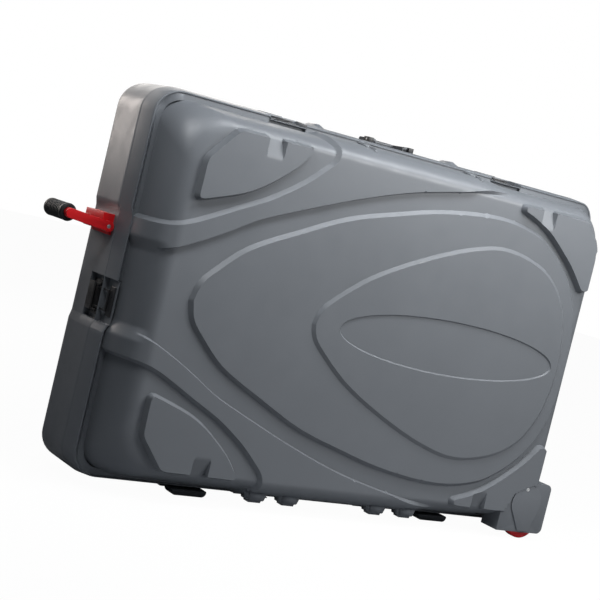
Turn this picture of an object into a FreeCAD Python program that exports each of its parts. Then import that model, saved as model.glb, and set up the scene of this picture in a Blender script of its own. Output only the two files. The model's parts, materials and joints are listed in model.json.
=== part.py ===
import FreeCAD, Part
import math
import os
from FreeCAD import Placement, Rotation, Vector

# A hard-shell bike travel case: two moulded half shells hinged along the bottom edge, closed by four
# over-centre latches, carried by a swinging pull handle and rolled on two corner wheels.
# Rim frame: origin at the middle of the parting line, X along the case, Y towards the back, Z up.

doc = FreeCAD.newDocument("bike_travel_case")

# Driving dimensions, in millimetres and degrees
SIZES = {
    # Shells
    "case_length": 1204, "case_height": 800, "case_depth": 292,
    "rim_corner": 58, "rim_depth": 49, "rim_lip": 4, "rim_ledge": 14, "rim_wall": 5,
    "groove_depth": 10, "shell_wall": 4, "end_slope": 56, "side_slope": 36, "face_corner": 52,
    "back_fillet": 25, "pad_rise": 14, "band_rise": 6, "leaf_rise": 4, "oval_depth": 3,
    "block_rise": 6, "low_block_top": -85, "high_block_bottom": 134, "overrun": 40,
    # Raised forms on the faces
    "outer_leaf_tip": 474, "outer_leaf_radius": 306, "outer_leaf_centre": 220, "outer_leaf_end": 536,
    "inner_leaf_tip": 184, "inner_leaf_radius": 241, "inner_leaf_centre": 260, "inner_leaf_end": 508,
    "oval_centre": 183, "oval_half_length": 301, "oval_half_height": 60,
    "pad_outer": 512, "pad_top": 347, "pad_inner": 285, "pad_low": 198, "pad_cut": 60,
    "notch_width": 38, "notch_height": 38, "notch_place": 369,
    "rib_depth": 18, "rib_width": 58, "rib_outer_place": 200, "rib_inner_place": 116, "rib_length": 40,
    "rib_middle": 95, "bump_width": 34, "bump_height": 8, "bump_length": 46, "bump_place": 187,
    # Latches
    "latch_width": 88, "latch_reach": 62, "pocket_depth": 12, "top_latch_place": 300,
    "end_latch_height": -43, "latch_plate": 2.5, "latch_ear": 4, "ear_width": 60, "ear_height": 9,
    "lever_pivot_depth": 16, "lever_pivot_drop": 4, "lever_pin_radius": 2, "lever_length": 40,
    "lever_width": 56, "lever_plate": 3, "lug_width": 3, "lug_base": 1.5, "bail_pivot_depth": 28,
    "bail_pivot_drop": 5.5, "bail_wire_radius": 1.5, "bail_strip": 3.6, "bail_length": 52, "bail_width": 40,
    "bail_room": 3.6, "hook_gap": 0.3, "hook_wall": 4, "keeper_length": 24, "latch_margin": 1.2,
    # Hinges along the bottom edge
    "hinge_place": 160, "hinge_width": 60, "leaf_length": 38, "leaf_plate": 2, "knuckle_radius": 4.5,
    "hinge_pin_radius": 2.5, "hinge_clearance": 0.4, "rivet_radius": 2, "rivet_head_radius": 3.6,
    "rivet_head": 1.2, "rivet_spread": 17, "rivet_reach": 30,
    # Feet
    "foot_length": 84, "foot_width": 36, "foot_height": 14, "foot_round": 11, "foot_place": 327,
    "foot_inset": 15,
    # Wheels and their housings
    "wheel_radius": 46, "wheel_width": 26, "wheel_inset": 70, "tyre_thickness": 14, "tyre_round": 5,
    "hub_web": 9, "hub_radius": 13, "axle_radius": 5, "wheel_gap": 3, "housing_end_inset": 16,
    "housing_length": 140, "housing_lift": 4, "housing_rise": 124, "shoulder_rise": 50,
    "housing_corner": 14, "housing_bow": 70, "housing_depth": 58, "housing_cheek": 10,
    "cover_radius": 44, "cover_plate": 3, "cover_shift": 16, "cover_lift": 43, "cover_foot_left": 24,
    "cover_foot_right": 9, "cover_foot_drop": 24, "housing_screw_radius": 4.5, "housing_screw_head": 1,
    "housing_screw_slot": 2, "housing_screw_shift": 22, "housing_screw_lift": 76,
    # Pull handle on the left end
    "handle_height": 100, "handle_front": 2, "arm_width": 14, "arm_thickness": 20, "arm_length": 85,
    "handle_grip_length": 90, "handle_bar_radius": 8, "handle_grip_radius": 18, "handle_rest_angle": 7,
    "handle_pin_radius": 4, "handle_pin_offset": 14, "handle_boss_radius": 11, "handle_boss_width": 10,
    "handle_plate": 4, "handle_plate_height": 42, "handle_plate_rise": 4, "handle_hood": 24,
    "handle_hood_lift": 7, "handle_screw_radius": 4, "handle_screw_head": 2, "handle_screw_spread": 18,
    # Carry handle on the top edge
    "carry_length": 124, "carry_mount": 13, "carry_mount_width": 20, "carry_mount_height": 11,
    "carry_pivot_depth": 14, "carry_pivot_height": 6, "carry_pin_radius": 2.5, "carry_reach": 46,
    "carry_arm": 9, "carry_thickness": 8, "carry_grip_radius": 4.5,
    # Inside fittings
    "foam_thickness": 15, "foam_gap": 16, "front_foam_end_gap": 62, "front_foam_top_gap": 50,
    "rear_foam_end_gap": 62, "rear_foam_top_gap": 25, "strap_width": 38, "strap_thickness": 1.6,
    "strap_end_gap": 20, "strap_place": 260, "buckle_width": 52, "buckle_length": 64,
    "buckle_thickness": 12,
    # Clearances
    "running_fit": 0.05, "side_gap": 0.3, "seat_gap": 0.3,
}
sheet = doc.addObject("Spreadsheet::Sheet", "Sizes")
for row, (alias, value) in enumerate(SIZES.items(), start=1):
    sheet.set(f"A{row}", alias)
    sheet.set(f"B{row}", str(value))
    sheet.setAlias(f"B{row}", alias)
doc.recompute()
mm = sheet.get

# Shares of the wall's depth at which the shell wall is sectioned, from the rim out to the face
wall_depth_shares = (0, 0.35, 0.65, 0.87, 1)
# The raised shoulder band, as shares of the case's half length and half height: its upper edge from
# the end wall up to the top wall, then its lower edge back from the top wall down to the end wall
band_upper_shares = (
    (-1.1, 0.34), (-0.92, 0.345), (-0.68, 0.505), (-0.485, 0.675), (-0.36, 0.89), (-0.36, 1.2))
band_lower_shares = (
    (0.47, 1.2), (0.42, 0.905), (-0.08, 0.755), (-0.46, 0.548), (-0.92, 0.215), (-1.1, 0.215))
# How far the pads' inner edges bow out from a straight line: on the pointed end and on the round end
pad_bow_shares = {"left": 0.16, "right": -0.12}
# Of a leaf's radius: the half height of its blunt tip, and its half height midway along the pointed end
leaf_nose_share = 0.173
leaf_side_share = 0.748
# Of the wheel cover's radius: how far below its middle the straight lower edges start
cover_waist_share = 0.34
# Of a quarter arc's radius: how far along each axis its middle lies
arc_middle_share = math.cos(math.pi / 4)

half_length = mm("case_length") / 2
half_height = mm("case_height") / 2
pad_face = mm("case_depth") / 2
low_face = pad_face - mm("pad_rise")
band_face = low_face + mm("band_rise")
leaf_face = band_face + mm("leaf_rise")
ground = half_height + mm("foot_height")
housing_right = half_length - mm("housing_end_inset")
housing_face = pad_face - mm("cover_plate") - mm("housing_screw_head")


def at_y(shape, y):
    # Moves a flat shape drawn at the parting plane to the depth y.
    moved = shape.copy()
    moved.translate(Vector(0, y, 0))
    return moved


def point(x, z):
    return Vector(x, 0, z)


def outline(start, *steps):
    # A closed face in the XZ plane: a step of one point is a line, of two an arc through the first.
    edges = []
    here = start
    for step in steps + ((start,),):
        there = step[-1]
        if here.isEqual(there, mm("running_fit")):
            continue
        if len(step) == 1:
            edges.append(Part.LineSegment(here, there).toShape())
        else:
            edges.append(Part.Arc(here, step[0], there).toShape())
        here = there
    return Part.Face(Part.Wire(edges))


def rounded_outline(half_x, half_z, radius):
    inner_x = half_x - radius
    inner_z = half_z - radius
    bow = radius * arc_middle_share
    return outline(
        point(-inner_x, half_z),
        (point(inner_x, half_z),),
        (point(inner_x + bow, inner_z + bow), point(half_x, inner_z)),
        (point(half_x, -inner_z),),
        (point(inner_x + bow, -inner_z - bow), point(inner_x, -half_z)),
        (point(-inner_x, -half_z),),
        (point(-inner_x - bow, -inner_z - bow), point(-half_x, -inner_z)),
        (point(-half_x, inner_z),),
        (point(-inner_x - bow, inner_z + bow), point(-inner_x, half_z)),
    )


def prism(face, y_start, y_end):
    return at_y(face, y_start).extrude(Vector(0, y_end - y_start, 0))


def box(x_range, y_range, z_range):
    corner = Vector(x_range[0], y_range[0], z_range[0])
    return Part.makeBox(x_range[1] - x_range[0], y_range[1] - y_range[0], z_range[1] - z_range[0], corner)


def curved_body(inset, y_start, y_end):
    # The front shell's body: sections shrink along a quarter ellipse from the rim to the face.
    sections = []
    for share in wall_depth_shares:
        drawn_in = 1 - math.sqrt(1 - share * share)
        half_x = half_length - mm("rim_ledge") - inset - mm("end_slope") * drawn_in
        half_z = half_height - mm("rim_ledge") - inset - mm("side_slope") * drawn_in
        face = rounded_outline(half_x, half_z, mm("face_corner"))
        sections.append(at_y(face.OuterWire, y_start + (y_end - y_start) * share))
    return Part.makeLoft(sections, True, True)


def over_and_under(shape):
    # A form and its twin mirrored about the case's mid height.
    return shape.fuse(shape.mirror(Vector(0, 0, 0), Vector(0, 0, 1)))


def leaf_outline(tip, radius, centre, end):
    # Pointed to the left, round to the right, the same above and below the mid height.
    nose = radius * leaf_nose_share
    side_x = (centre - tip) / 2
    side_z = radius * leaf_side_share
    shoulder = radius * arc_middle_share
    end_x = centre + (end - centre) * arc_middle_share
    return outline(
        point(-tip + nose / 2, nose),
        (point(side_x, side_z), point(centre, radius)),
        (point(end_x, shoulder), point(end, 0)),
        (point(end_x, -shoulder), point(centre, -radius)),
        (point(side_x, -side_z), point(-tip + nose / 2, -nose)),
        (point(-tip, 0), point(-tip + nose / 2, nose)),
    )


def band_outline():
    # The shoulder band sweeps from the left end wall up and over the top wall.
    def spot(share):
        return point(share[0] * half_length, share[1] * half_height)
    up = [spot(share) for share in band_upper_shares]
    down = [spot(share) for share in band_lower_shares]
    return outline(
        up[0], (up[1],), (up[2], up[3]), (up[4],), (up[5],),
        (down[0],), (down[1],), (down[2], down[3]), (down[4],), (down[5],),
    )


def oval_face():
    ellipse = Part.Ellipse(point(0, 0), mm("oval_half_length"), mm("oval_half_height"))
    flat = Part.Face(Part.Wire(ellipse.toShape()))
    flat.rotate(Vector(0, 0, 0), Vector(1, 0, 0), 90)
    flat.translate(point(mm("oval_centre"), 0))
    return flat


def corner_pad(side):
    # One raised foot of the face, upper half; side is -1 at the pointed end and 1 at the round end.
    bow_share = pad_bow_shares["left" if side < 0 else "right"]
    outer = mm("pad_outer")
    inner = mm("pad_inner")
    top = mm("pad_top")
    low = mm("pad_low")
    lift = top - low
    middle_x = (outer + inner - bow_share * lift) / 2
    middle = point(side * middle_x, low + lift / 2 - bow_share * (outer - inner) / 2)
    face = outline(
        point(side * outer, low),
        (point(side * outer, top - mm("pad_cut")),),
        (point(side * (outer - mm("pad_cut")), top),),
        (point(side * inner, top),),
        (middle, point(side * outer, low)),
    )
    return face


def notch_box(side, y_range):
    middle = side * mm("notch_place")
    x_range = (middle - mm("notch_width") / 2, middle + mm("notch_width") / 2)
    return box(x_range, y_range, (mm("pad_top") - mm("notch_height"), mm("pad_top") + mm("overrun")))


def face_pads(y_from, y_to):
    pads = []
    for side in (-1, 1):
        notch = notch_box(side, sorted((math.copysign(low_face, y_to), y_to * 2)))
        pads.append(prism(corner_pad(side), y_from, y_to).cut(notch))
    return over_and_under(pads[0].fuse(pads[1]))


def bottom_ribs():
    # Rounded bumps in two pairs under the front body.
    ribs = []
    top = -half_height + mm("rim_ledge") + mm("side_slope")
    low = -half_height + mm("groove_depth") / 2
    outer = mm("rib_outer_place")
    inner = mm("rib_inner_place")
    for place in (-outer, -inner, inner, outer):
        left = place - mm("rib_width") / 2
        right = place + mm("rib_width") / 2
        face = outline(
            point(left, top),
            (point(left, low + mm("rib_depth")),),
            (point(place, low),),
            (point(right - mm("rib_width") / 4, low),),
            (point(right, low + mm("rib_depth") / 2),),
            (point(right, top),),
        )
        y_back = -mm("rib_middle") + mm("rib_length") / 2
        ribs.append(prism(face, y_back, y_back - mm("rib_length")))
    return ribs


def end_block(y_start, y_end, upper):
    # The thickened part of the left end wall, with a sloped step.
    rise = mm("block_rise")
    swollen = prism(rounded_outline(half_length + rise, half_height, mm("rim_corner")), y_start, y_end)
    edge = mm("high_block_bottom") if upper else mm("low_block_top")
    sign = 1 if upper else -1
    far = sign * (half_height + mm("overrun"))
    inside = -half_length + mm("rim_corner")
    outside = -half_length - rise
    beyond = outside - mm("overrun")
    region = outline(
        point(inside, edge),
        (point(-half_length, edge),),
        (point(outside, edge + sign * rise),),
        (point(beyond, edge + sign * rise),),
        (point(beyond, far),),
        (point(inside, far),),
    )
    return swollen.common(prism(region, y_start, y_end))


# Where each latch sits: the turn that takes the local outward Z to the wall's outward direction
latch_seats = {
    "left": Placement(Vector(-half_length, 0, mm("end_latch_height")), Rotation(Vector(0, 1, 0), -90)),
    "right": Placement(Vector(half_length, 0, mm("end_latch_height")), Rotation(Vector(0, 1, 0), 90)),
    "top_left": Placement(Vector(-mm("top_latch_place"), 0, half_height), Rotation()),
    "top_right": Placement(Vector(mm("top_latch_place"), 0, half_height), Rotation()),
}


def latch_pockets(grow):
    # The sunk seats of the four latches, across both rims; grow leaves a wall inside the shells.
    pockets = []
    side = mm("latch_width") / 2 + grow
    for seat in latch_seats.values():
        y_range = (-mm("rim_depth") - grow, mm("latch_reach") + grow)
        pocket = box((-side, side), y_range, (-mm("pocket_depth") - grow, mm("overrun")))
        pocket.Placement = seat
        pockets.append(pocket)
    return pockets


def housing_outline(grow, right, bottom):
    # The wheel housing seen from the front: a rounded block with a bowed upper left shoulder.
    left = housing_right - mm("housing_length") - grow
    top = -half_height + mm("housing_rise") + grow
    shoulder = -half_height + mm("shoulder_rise")
    corner = mm("housing_corner")
    reach_x = mm("housing_bow")
    drop = top - shoulder
    bow = corner * (1 - arc_middle_share)
    bow_middle = point(left + reach_x * (1 - arc_middle_share), shoulder + drop * arc_middle_share)
    return outline(
        point(left, bottom),
        (point(left, shoulder),),
        (bow_middle, point(left + reach_x, top)),
        (point(right - corner, top),),
        (point(right - bow, top - bow), point(right, top - corner)),
        (point(right, bottom + corner),),
        (point(right - bow, bottom + bow), point(right - corner, bottom)),
    )


def wheel_well(grow, sign):
    # The open corner that a housing fills; sign is -1 in the front shell and 1 in the rear one.
    face = housing_outline(mm("seat_gap") + grow, half_length + mm("overrun"), -ground - mm("overrun"))
    floor = housing_face - mm("housing_depth") - grow
    return prism(face, sign * floor, sign * (pad_face + mm("overrun")))


def rivet_spots():
    # The rivets' places along X and their distance from the parting line.
    spots = []
    for hinge in (-1, 1):
        for side in (-1, 1):
            spots.append((hinge * mm("hinge_place") + side * mm("rivet_spread"), mm("rivet_reach")))
    return spots


def rivet_holes(sign):
    holes = []
    for x, reach in rivet_spots():
        start = Vector(x, sign * reach, -half_height - mm("overrun"))
        holes.append(Part.makeCylinder(mm("rivet_radius") + mm("running_fit"), 2 * mm("overrun"), start))
    return holes


def front_shell_shape():
    rim_face = rounded_outline(half_length, half_height, mm("rim_corner"))
    body_start = -mm("rim_depth") + mm("groove_depth") + mm("shell_wall")
    low_body = curved_body(mm("band_rise"), body_start, -low_face)
    band_body = curved_body(0, body_start, -band_face)
    beyond = -pad_face - mm("overrun")
    bands = over_and_under(prism(band_outline(), body_start, beyond))
    outer_leaf = leaf_outline(
        mm("outer_leaf_tip"), mm("outer_leaf_radius"), mm("outer_leaf_centre"), mm("outer_leaf_end"))
    inner_leaf = leaf_outline(
        mm("inner_leaf_tip"), mm("inner_leaf_radius"), mm("inner_leaf_centre"), mm("inner_leaf_end"))
    raised = band_body.common(bands.fuse(prism(outer_leaf, body_start, beyond)))
    face_back = -low_face + mm("shell_wall")
    inner_plate = prism(inner_leaf, face_back, -leaf_face)
    inner_plate = inner_plate.cut(prism(oval_face(), -leaf_face + mm("oval_depth"), beyond))
    solid = prism(rim_face, 0, -mm("rim_depth"))
    solid = solid.multiFuse([low_body, raised, inner_plate, face_pads(face_back, -pad_face), *bottom_ribs()])
    solid = solid.fuse(end_block(0, -mm("rim_depth"), False))
    lip = mm("rim_lip")
    ledge = mm("rim_ledge")
    lip_face = rounded_outline(half_length - lip, half_height - lip, mm("rim_corner") - lip)
    base_face = rounded_outline(half_length - ledge, half_height - ledge, mm("face_corner"))
    groove_floor = -mm("rim_depth") + mm("groove_depth")
    groove = prism(lip_face.cut(base_face), groove_floor, -mm("rim_depth") - mm("overrun"))
    solid = solid.cut([groove, wheel_well(0, -1), *latch_pockets(0), *rivet_holes(-1)])
    rim_wall = mm("rim_wall")
    hollow_face = rounded_outline(half_length - rim_wall, half_height - rim_wall, mm("rim_corner") - rim_wall)
    hollow = prism(hollow_face, 0, body_start)
    hollow = hollow.fuse(curved_body(mm("band_rise") + mm("shell_wall"), body_start, face_back))
    hollow = hollow.cut([wheel_well(mm("shell_wall"), -1), *latch_pockets(mm("shell_wall"))])
    return solid.cut(hollow)


def rear_shell_shape():
    def tray(half_x, half_z, corner, depth, round_over):
        block = prism(rounded_outline(half_x, half_z, corner), 0, depth)
        back_edges = [edge for edge in block.Edges if edge.BoundBox.YMin > depth - mm("running_fit")]
        return block.makeFillet(round_over, back_edges)

    solid = tray(half_length, half_height, mm("rim_corner"), band_face, mm("back_fillet"))
    block_end = band_face - mm("back_fillet")
    solid = solid.fuse([end_block(0, block_end, False), end_block(0, block_end, True)])
    outer_leaf = leaf_outline(
        mm("outer_leaf_tip"), mm("outer_leaf_radius"), mm("outer_leaf_centre"), mm("outer_leaf_end"))
    solid = solid.multiFuse([prism(outer_leaf, low_face, leaf_face), face_pads(low_face, pad_face)])
    bump_radius = (mm("bump_width") ** 2 / 4 + mm("bump_height") ** 2) / (2 * mm("bump_height"))
    for side in (-1, 1):
        axis_z = half_height + mm("bump_height") - bump_radius
        start = Vector(side * mm("bump_place"), mm("foot_inset"), axis_z)
        solid = solid.fuse(Part.makeCylinder(bump_radius, mm("bump_length"), start, Vector(0, 1, 0)))
    solid = solid.cut([wheel_well(0, 1), *latch_pockets(0), *rivet_holes(1)])
    wall = mm("shell_wall")
    hollow = tray(
        half_length - mm("rim_wall"), half_height - mm("rim_wall"), mm("rim_corner") - mm("rim_wall"),
        band_face - wall, mm("back_fillet") - wall)
    hollow = hollow.cut([wheel_well(wall, 1), *latch_pockets(wall)])
    return solid.cut(hollow)


sub_parts = []


def shaped(label, shape):
    # A piece whose form only a computed solid can give.
    made = doc.addObject("Part::Feature", label)
    made.Label = label
    made.Shape = shape
    sub_parts.append((made, Placement()))
    return made


def bind(target, **expressions):
    for name, expression in expressions.items():
        target.setExpression(name.replace("__", "."), expression)
    return target


def sized(expression):
    # Puts the sheet's name before every alias in an expression.
    words = sorted(SIZES, key=len, reverse=True)
    out = []
    token = ""
    for letter in expression + " ":
        if letter.isalnum() or letter == "_" or letter == ".":
            token += letter
            continue
        out.append(f"Sizes.{token}" if token in words else token)
        out.append(letter)
        token = ""
    return "".join(out).strip()


def block(name, length, width, height, x, y, z):
    made = doc.addObject("Part::Box", name)
    bind(made, Length=sized(length), Width=sized(width), Height=sized(height))
    bind(made, Placement__Base__x=sized(x), Placement__Base__y=sized(y), Placement__Base__z=sized(z))
    return made


turns = {"X": Rotation(Vector(0, 1, 0), 90), "Y": Rotation(Vector(1, 0, 0), -90), "Z": Rotation()}


def rod(name, axis, radius, length, x, y, z):
    made = doc.addObject("Part::Cylinder", name)
    made.Placement = Placement(Vector(), turns[axis])
    bind(made, Radius=sized(radius), Height=sized(length))
    bind(made, Placement__Base__x=sized(x), Placement__Base__y=sized(y), Placement__Base__z=sized(z))
    return made


def joined(name, *pieces):
    made = doc.addObject("Part::MultiFuse", name)
    made.Shapes = list(pieces)
    return made


def cut(name, base, tool):
    made = doc.addObject("Part::Cut", name)
    made.Base = base
    made.Tool = tool
    return made


def piece(label, *members, seat=None):
    # A finished sub-part: one solid, or a group of like solids.
    made = doc.addObject("Part::Compound", label)
    made.Label = label
    made.Links = list(members)
    sub_parts.append((made, seat or Placement()))
    return made


# Shells
shaped("rear_shell", rear_shell_shape())
shaped("front_shell", front_shell_shape())

# Latches: one set of pieces, drawn in the latch's own frame, seated four times
ear_length = "2 * (lever_pivot_depth - latch_margin)"
latch_base = joined(
    "latch_base_solid",
    block("latch_base_plate", "ear_width + 2 * latch_ear", "latch_reach - 2 * latch_margin", "latch_plate",
          "-ear_width / 2 - latch_ear", "latch_margin", "-pocket_depth"),
    block("latch_ear_left", "latch_ear", ear_length, "latch_plate + ear_height",
          "-ear_width / 2 - latch_ear", "latch_margin", "-pocket_depth"),
    block("latch_ear_right", "latch_ear", ear_length, "latch_plate + ear_height",
          "ear_width / 2", "latch_margin", "-pocket_depth"),
)
latch_base = cut(
    "latch_base_bored", latch_base,
    rod("latch_pivot_bore", "X", "lever_pin_radius + running_fit", "latch_width", "-latch_width / 2",
        "lever_pivot_depth", "-lever_pivot_drop"),
)
lug_bottom = "-pocket_depth + latch_plate + lug_base"
stub_length = "ear_width / 2 + latch_ear - lever_width / 2 + lug_width"
lever_lugs = []
lever_stubs = []
for side_name, lug_x, stub_x in (
    ("left", "-lever_width / 2", "-ear_width / 2 - latch_ear"),
    ("right", "lever_width / 2 - lug_width", "lever_width / 2 - lug_width"),
):
    lever_lugs.append(block(
        f"lever_lug_{side_name}", "lug_width", "lever_length - lug_width", f"-({lug_bottom})",
        lug_x, "lever_pivot_depth - lug_width", lug_bottom))
    lever_stubs.append(rod(
        f"lever_stub_{side_name}", "X", "lever_pin_radius", stub_length,
        stub_x, "lever_pivot_depth", "-lever_pivot_drop"))
plate_start = "(bail_pivot_depth + bail_room)"
lever = joined(
    "lever_solid", *lever_lugs, *lever_stubs,
    block("lever_plate_solid", "lever_width", f"lever_pivot_depth + lever_length - {plate_start}",
          "lever_plate", "-lever_width / 2", plate_start, "0"),
)
lever = cut(
    "lever_bored", lever,
    rod("bail_bore", "X", "bail_wire_radius + running_fit", "latch_width", "-latch_width / 2",
        "bail_pivot_depth", "-bail_pivot_drop"),
)
bar_y = "bail_pivot_depth - bail_length - bail_strip / 2"
strip_z = "-bail_pivot_drop - bail_strip / 2"
bail = joined(
    "bail_solid",
    rod("bail_axle_left", "X", "bail_wire_radius", "(lever_width - bail_width) / 2",
        "-lever_width / 2", "bail_pivot_depth", "-bail_pivot_drop"),
    rod("bail_axle_right", "X", "bail_wire_radius", "(lever_width - bail_width) / 2",
        "bail_width / 2", "bail_pivot_depth", "-bail_pivot_drop"),
    block("bail_arm_left", "bail_strip", "bail_length + bail_strip", "bail_strip",
          "-(bail_width + bail_strip) / 2", bar_y, strip_z),
    block("bail_arm_right", "bail_strip", "bail_length + bail_strip", "bail_strip",
          "(bail_width - bail_strip) / 2", bar_y, strip_z),
    block("bail_cross_bar", "bail_width", "bail_strip", "bail_strip", "-bail_width / 2", bar_y, strip_z),
)
hook_front = "bail_pivot_depth - bail_length + bail_strip / 2 + hook_gap"
keeper = joined(
    "keeper_solid",
    block("keeper_plate", "ear_width", "keeper_length", "latch_plate", "-ear_width / 2",
          f"{hook_front} + hook_wall - keeper_length", "-pocket_depth"),
    block("keeper_hook", "bail_width - 2 * bail_strip", "hook_wall", f"pocket_depth + {strip_z} - hook_gap",
          "-bail_width / 2 + bail_strip", hook_front, "-pocket_depth"),
)
for place_name, seat in latch_seats.items():
    piece(f"{place_name}_latch_base", latch_base, seat=seat)
    piece(f"{place_name}_latch_lever", lever, seat=seat)
    piece(f"{place_name}_latch_bail", bail, seat=seat)
    piece(f"{place_name}_latch_keeper", keeper, seat=seat)

# Hinges: a rear leaf with two outer knuckles, a front leaf with the middle one, and a pin
hinge_drop = "-case_height / 2 - knuckle_radius - hinge_clearance"
knuckle_share = "hinge_width / 3"


def hinge_leaf(name, centre, sign, knuckle_starts, hole_spots):
    plate_y = "knuckle_radius + hinge_clearance"
    if sign < 0:
        plate_y = "-knuckle_radius - hinge_clearance - leaf_length"
    members = [block(f"{name}_plate", "hinge_width", "leaf_length", "leaf_plate",
                     f"{centre} - hinge_width / 2", plate_y, "-case_height / 2 - leaf_plate")]
    for index, start in enumerate(knuckle_starts):
        length = f"{knuckle_share} - side_gap"
        members.append(rod(f"{name}_knuckle_{index}", "X", "knuckle_radius", length, start, "0", hinge_drop))
        web_y = "0" if sign > 0 else "-knuckle_radius - 2 * hinge_clearance"
        members.append(block(
            f"{name}_web_{index}", length, "knuckle_radius + 2 * hinge_clearance", "leaf_plate",
            start, web_y, "-case_height / 2 - leaf_plate"))
    bores = [rod(f"{name}_bore", "X", "hinge_pin_radius + running_fit", "2 * hinge_width",
                 f"{centre} - hinge_width", "0", hinge_drop)]
    for index, spot in enumerate(hole_spots):
        bores.append(rod(f"{name}_hole_{index}", "Z", "rivet_radius + running_fit", "2 * overrun", spot,
                         f"{sign} * rivet_reach", "-case_height / 2 - overrun"))
    return cut(f"{name}_bored", joined(f"{name}_solid", *members), joined(f"{name}_bores", *bores))


for side_name, sign in (("left", "-1"), ("right", "1")):
    centre = f"{sign} * hinge_place"
    spots = (f"{centre} - rivet_spread", f"{centre} + rivet_spread")
    outer_starts = (f"{centre} - hinge_width / 2", f"{centre} + hinge_width / 6 + side_gap")
    middle_start = (f"{centre} - hinge_width / 6 + side_gap / 2",)
    rear_leaf = hinge_leaf(f"{side_name}_rear_leaf", centre, 1, outer_starts, spots)
    front_leaf = hinge_leaf(f"{side_name}_front_leaf", centre, -1, middle_start, spots)
    hinge_rod = rod(f"{side_name}_hinge_rod", "X", "hinge_pin_radius", "hinge_width",
                    f"{centre} - hinge_width / 2", "0", hinge_drop)
    piece(f"{side_name}_hinge_rear_leaf", rear_leaf)
    piece(f"{side_name}_hinge_front_leaf", front_leaf)
    piece(f"{side_name}_hinge_pin", hinge_rod)

for shell_name, sign in (("rear", "1"), ("front", "-1")):
    rivets = []
    corners = (("-1", "-1"), ("-1", "1"), ("1", "-1"), ("1", "1"))
    for index, (hinge_sign, side_sign) in enumerate(corners):
        spot = f"{hinge_sign} * hinge_place + {side_sign} * rivet_spread"
        reach = f"{sign} * rivet_reach"
        rivets.append(joined(
            f"{shell_name}_rivet_{index}",
            rod(f"{shell_name}_rivet_shank_{index}", "Z", "rivet_radius", "leaf_plate + rim_wall",
                spot, reach, "-case_height / 2 - leaf_plate"),
            rod(f"{shell_name}_rivet_head_{index}", "Z", "rivet_head_radius", "rivet_head", spot, reach,
                "-case_height / 2 - leaf_plate - rivet_head"),
        ))
    piece(f"{shell_name}_hinge_rivets", *rivets)


# Feet: rubber blocks with rounded lower corners, two under each rim
def foot_shape(place, y_start):
    half = mm("foot_length") / 2
    bow = mm("foot_round") * (1 - arc_middle_share)
    low = -ground
    face = outline(
        point(place - half, -half_height), (point(place - half, low + mm("foot_round")),),
        (point(place - half + bow, low + bow), point(place - half + mm("foot_round"), low)),
        (point(place + half - mm("foot_round"), low),),
        (point(place + half - bow, low + bow), point(place + half, low + mm("foot_round"))),
        (point(place + half, -half_height),),
    )
    return prism(face, y_start, y_start + mm("foot_width"))


for shell_name, y_start in (("rear", mm("foot_inset")), ("front", -mm("foot_inset") - mm("foot_width"))):
    feet = [foot_shape(side * mm("foot_place"), y_start) for side in (-1, 1)]
    shaped(f"{shell_name}_feet", Part.makeCompound(feet))

# Corner wheels: a housing in each shell's lower right corner, with cover, axle, hub and tyre
wheel_place = half_length - mm("wheel_inset")
wheel_height = -ground + mm("wheel_radius")
wheel_middle = housing_face - mm("housing_cheek") - mm("wheel_gap") / 2 - mm("wheel_width") / 2


def turned(profile):
    # A solid of revolution about the wheel's own axle, from radius and width points.
    corners = [Vector(radius, across, 0) for radius, across in profile]
    face = Part.Face(Part.makePolygon(corners + corners[:1]))
    solid = face.revolve(Vector(0, 0, 0), Vector(0, 1, 0), 360)
    return solid


def wheel_seat(sign):
    return Placement(Vector(wheel_place, sign * wheel_middle, wheel_height), Rotation())


def tyre_shape():
    half = mm("wheel_width") / 2
    inner = mm("wheel_radius") - mm("tyre_thickness")
    shoulder = mm("wheel_radius") - mm("tyre_round")
    return turned((
        (inner, -half), (shoulder, -half), (mm("wheel_radius"), -half + mm("tyre_round")),
        (mm("wheel_radius"), half - mm("tyre_round")), (shoulder, half), (inner, half),
    ))


def hub_shape():
    half = mm("wheel_width") / 2
    bore = mm("axle_radius") + mm("running_fit")
    rim = mm("wheel_radius") - mm("tyre_thickness")
    rim_inside = rim - mm("tyre_round")
    web = mm("hub_web") / 2
    boss = mm("hub_radius")
    return turned((
        (bore, -half), (boss, -half), (boss, -web), (rim_inside, -web), (rim_inside, -half), (rim, -half),
        (rim, half), (rim_inside, half), (rim_inside, web), (boss, web), (boss, half), (bore, half),
    ))


def housing_shape(sign):
    block_face = housing_outline(0, housing_right, -half_height + mm("housing_lift"))
    solid = prism(block_face, sign * (housing_face - mm("housing_depth")), sign * housing_face)
    room_width = mm("wheel_width") + mm("wheel_gap")
    room = Part.makeCylinder(mm("wheel_radius") + mm("wheel_gap"), room_width,
                             Vector(0, -room_width / 2, 0), Vector(0, 1, 0))
    room.Placement = wheel_seat(sign)
    axle_hole = Part.makeCylinder(mm("axle_radius") + mm("running_fit"), 2 * mm("housing_depth"),
                                  Vector(0, -mm("housing_depth"), 0), Vector(0, 1, 0))
    axle_hole.Placement = wheel_seat(sign)
    return solid.cut([room, axle_hole, screw_hole(sign)])


def screw_spot(y):
    return Vector(wheel_place - mm("housing_screw_shift"), y, wheel_height + mm("housing_screw_lift"))


def screw_hole(sign):
    start = screw_spot(sign * (housing_face - mm("housing_cheek")))
    radius = mm("housing_screw_radius") / 2 + mm("running_fit")
    return Part.makeCylinder(radius, 2 * mm("housing_cheek"), start, Vector(0, sign, 0))


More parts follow.
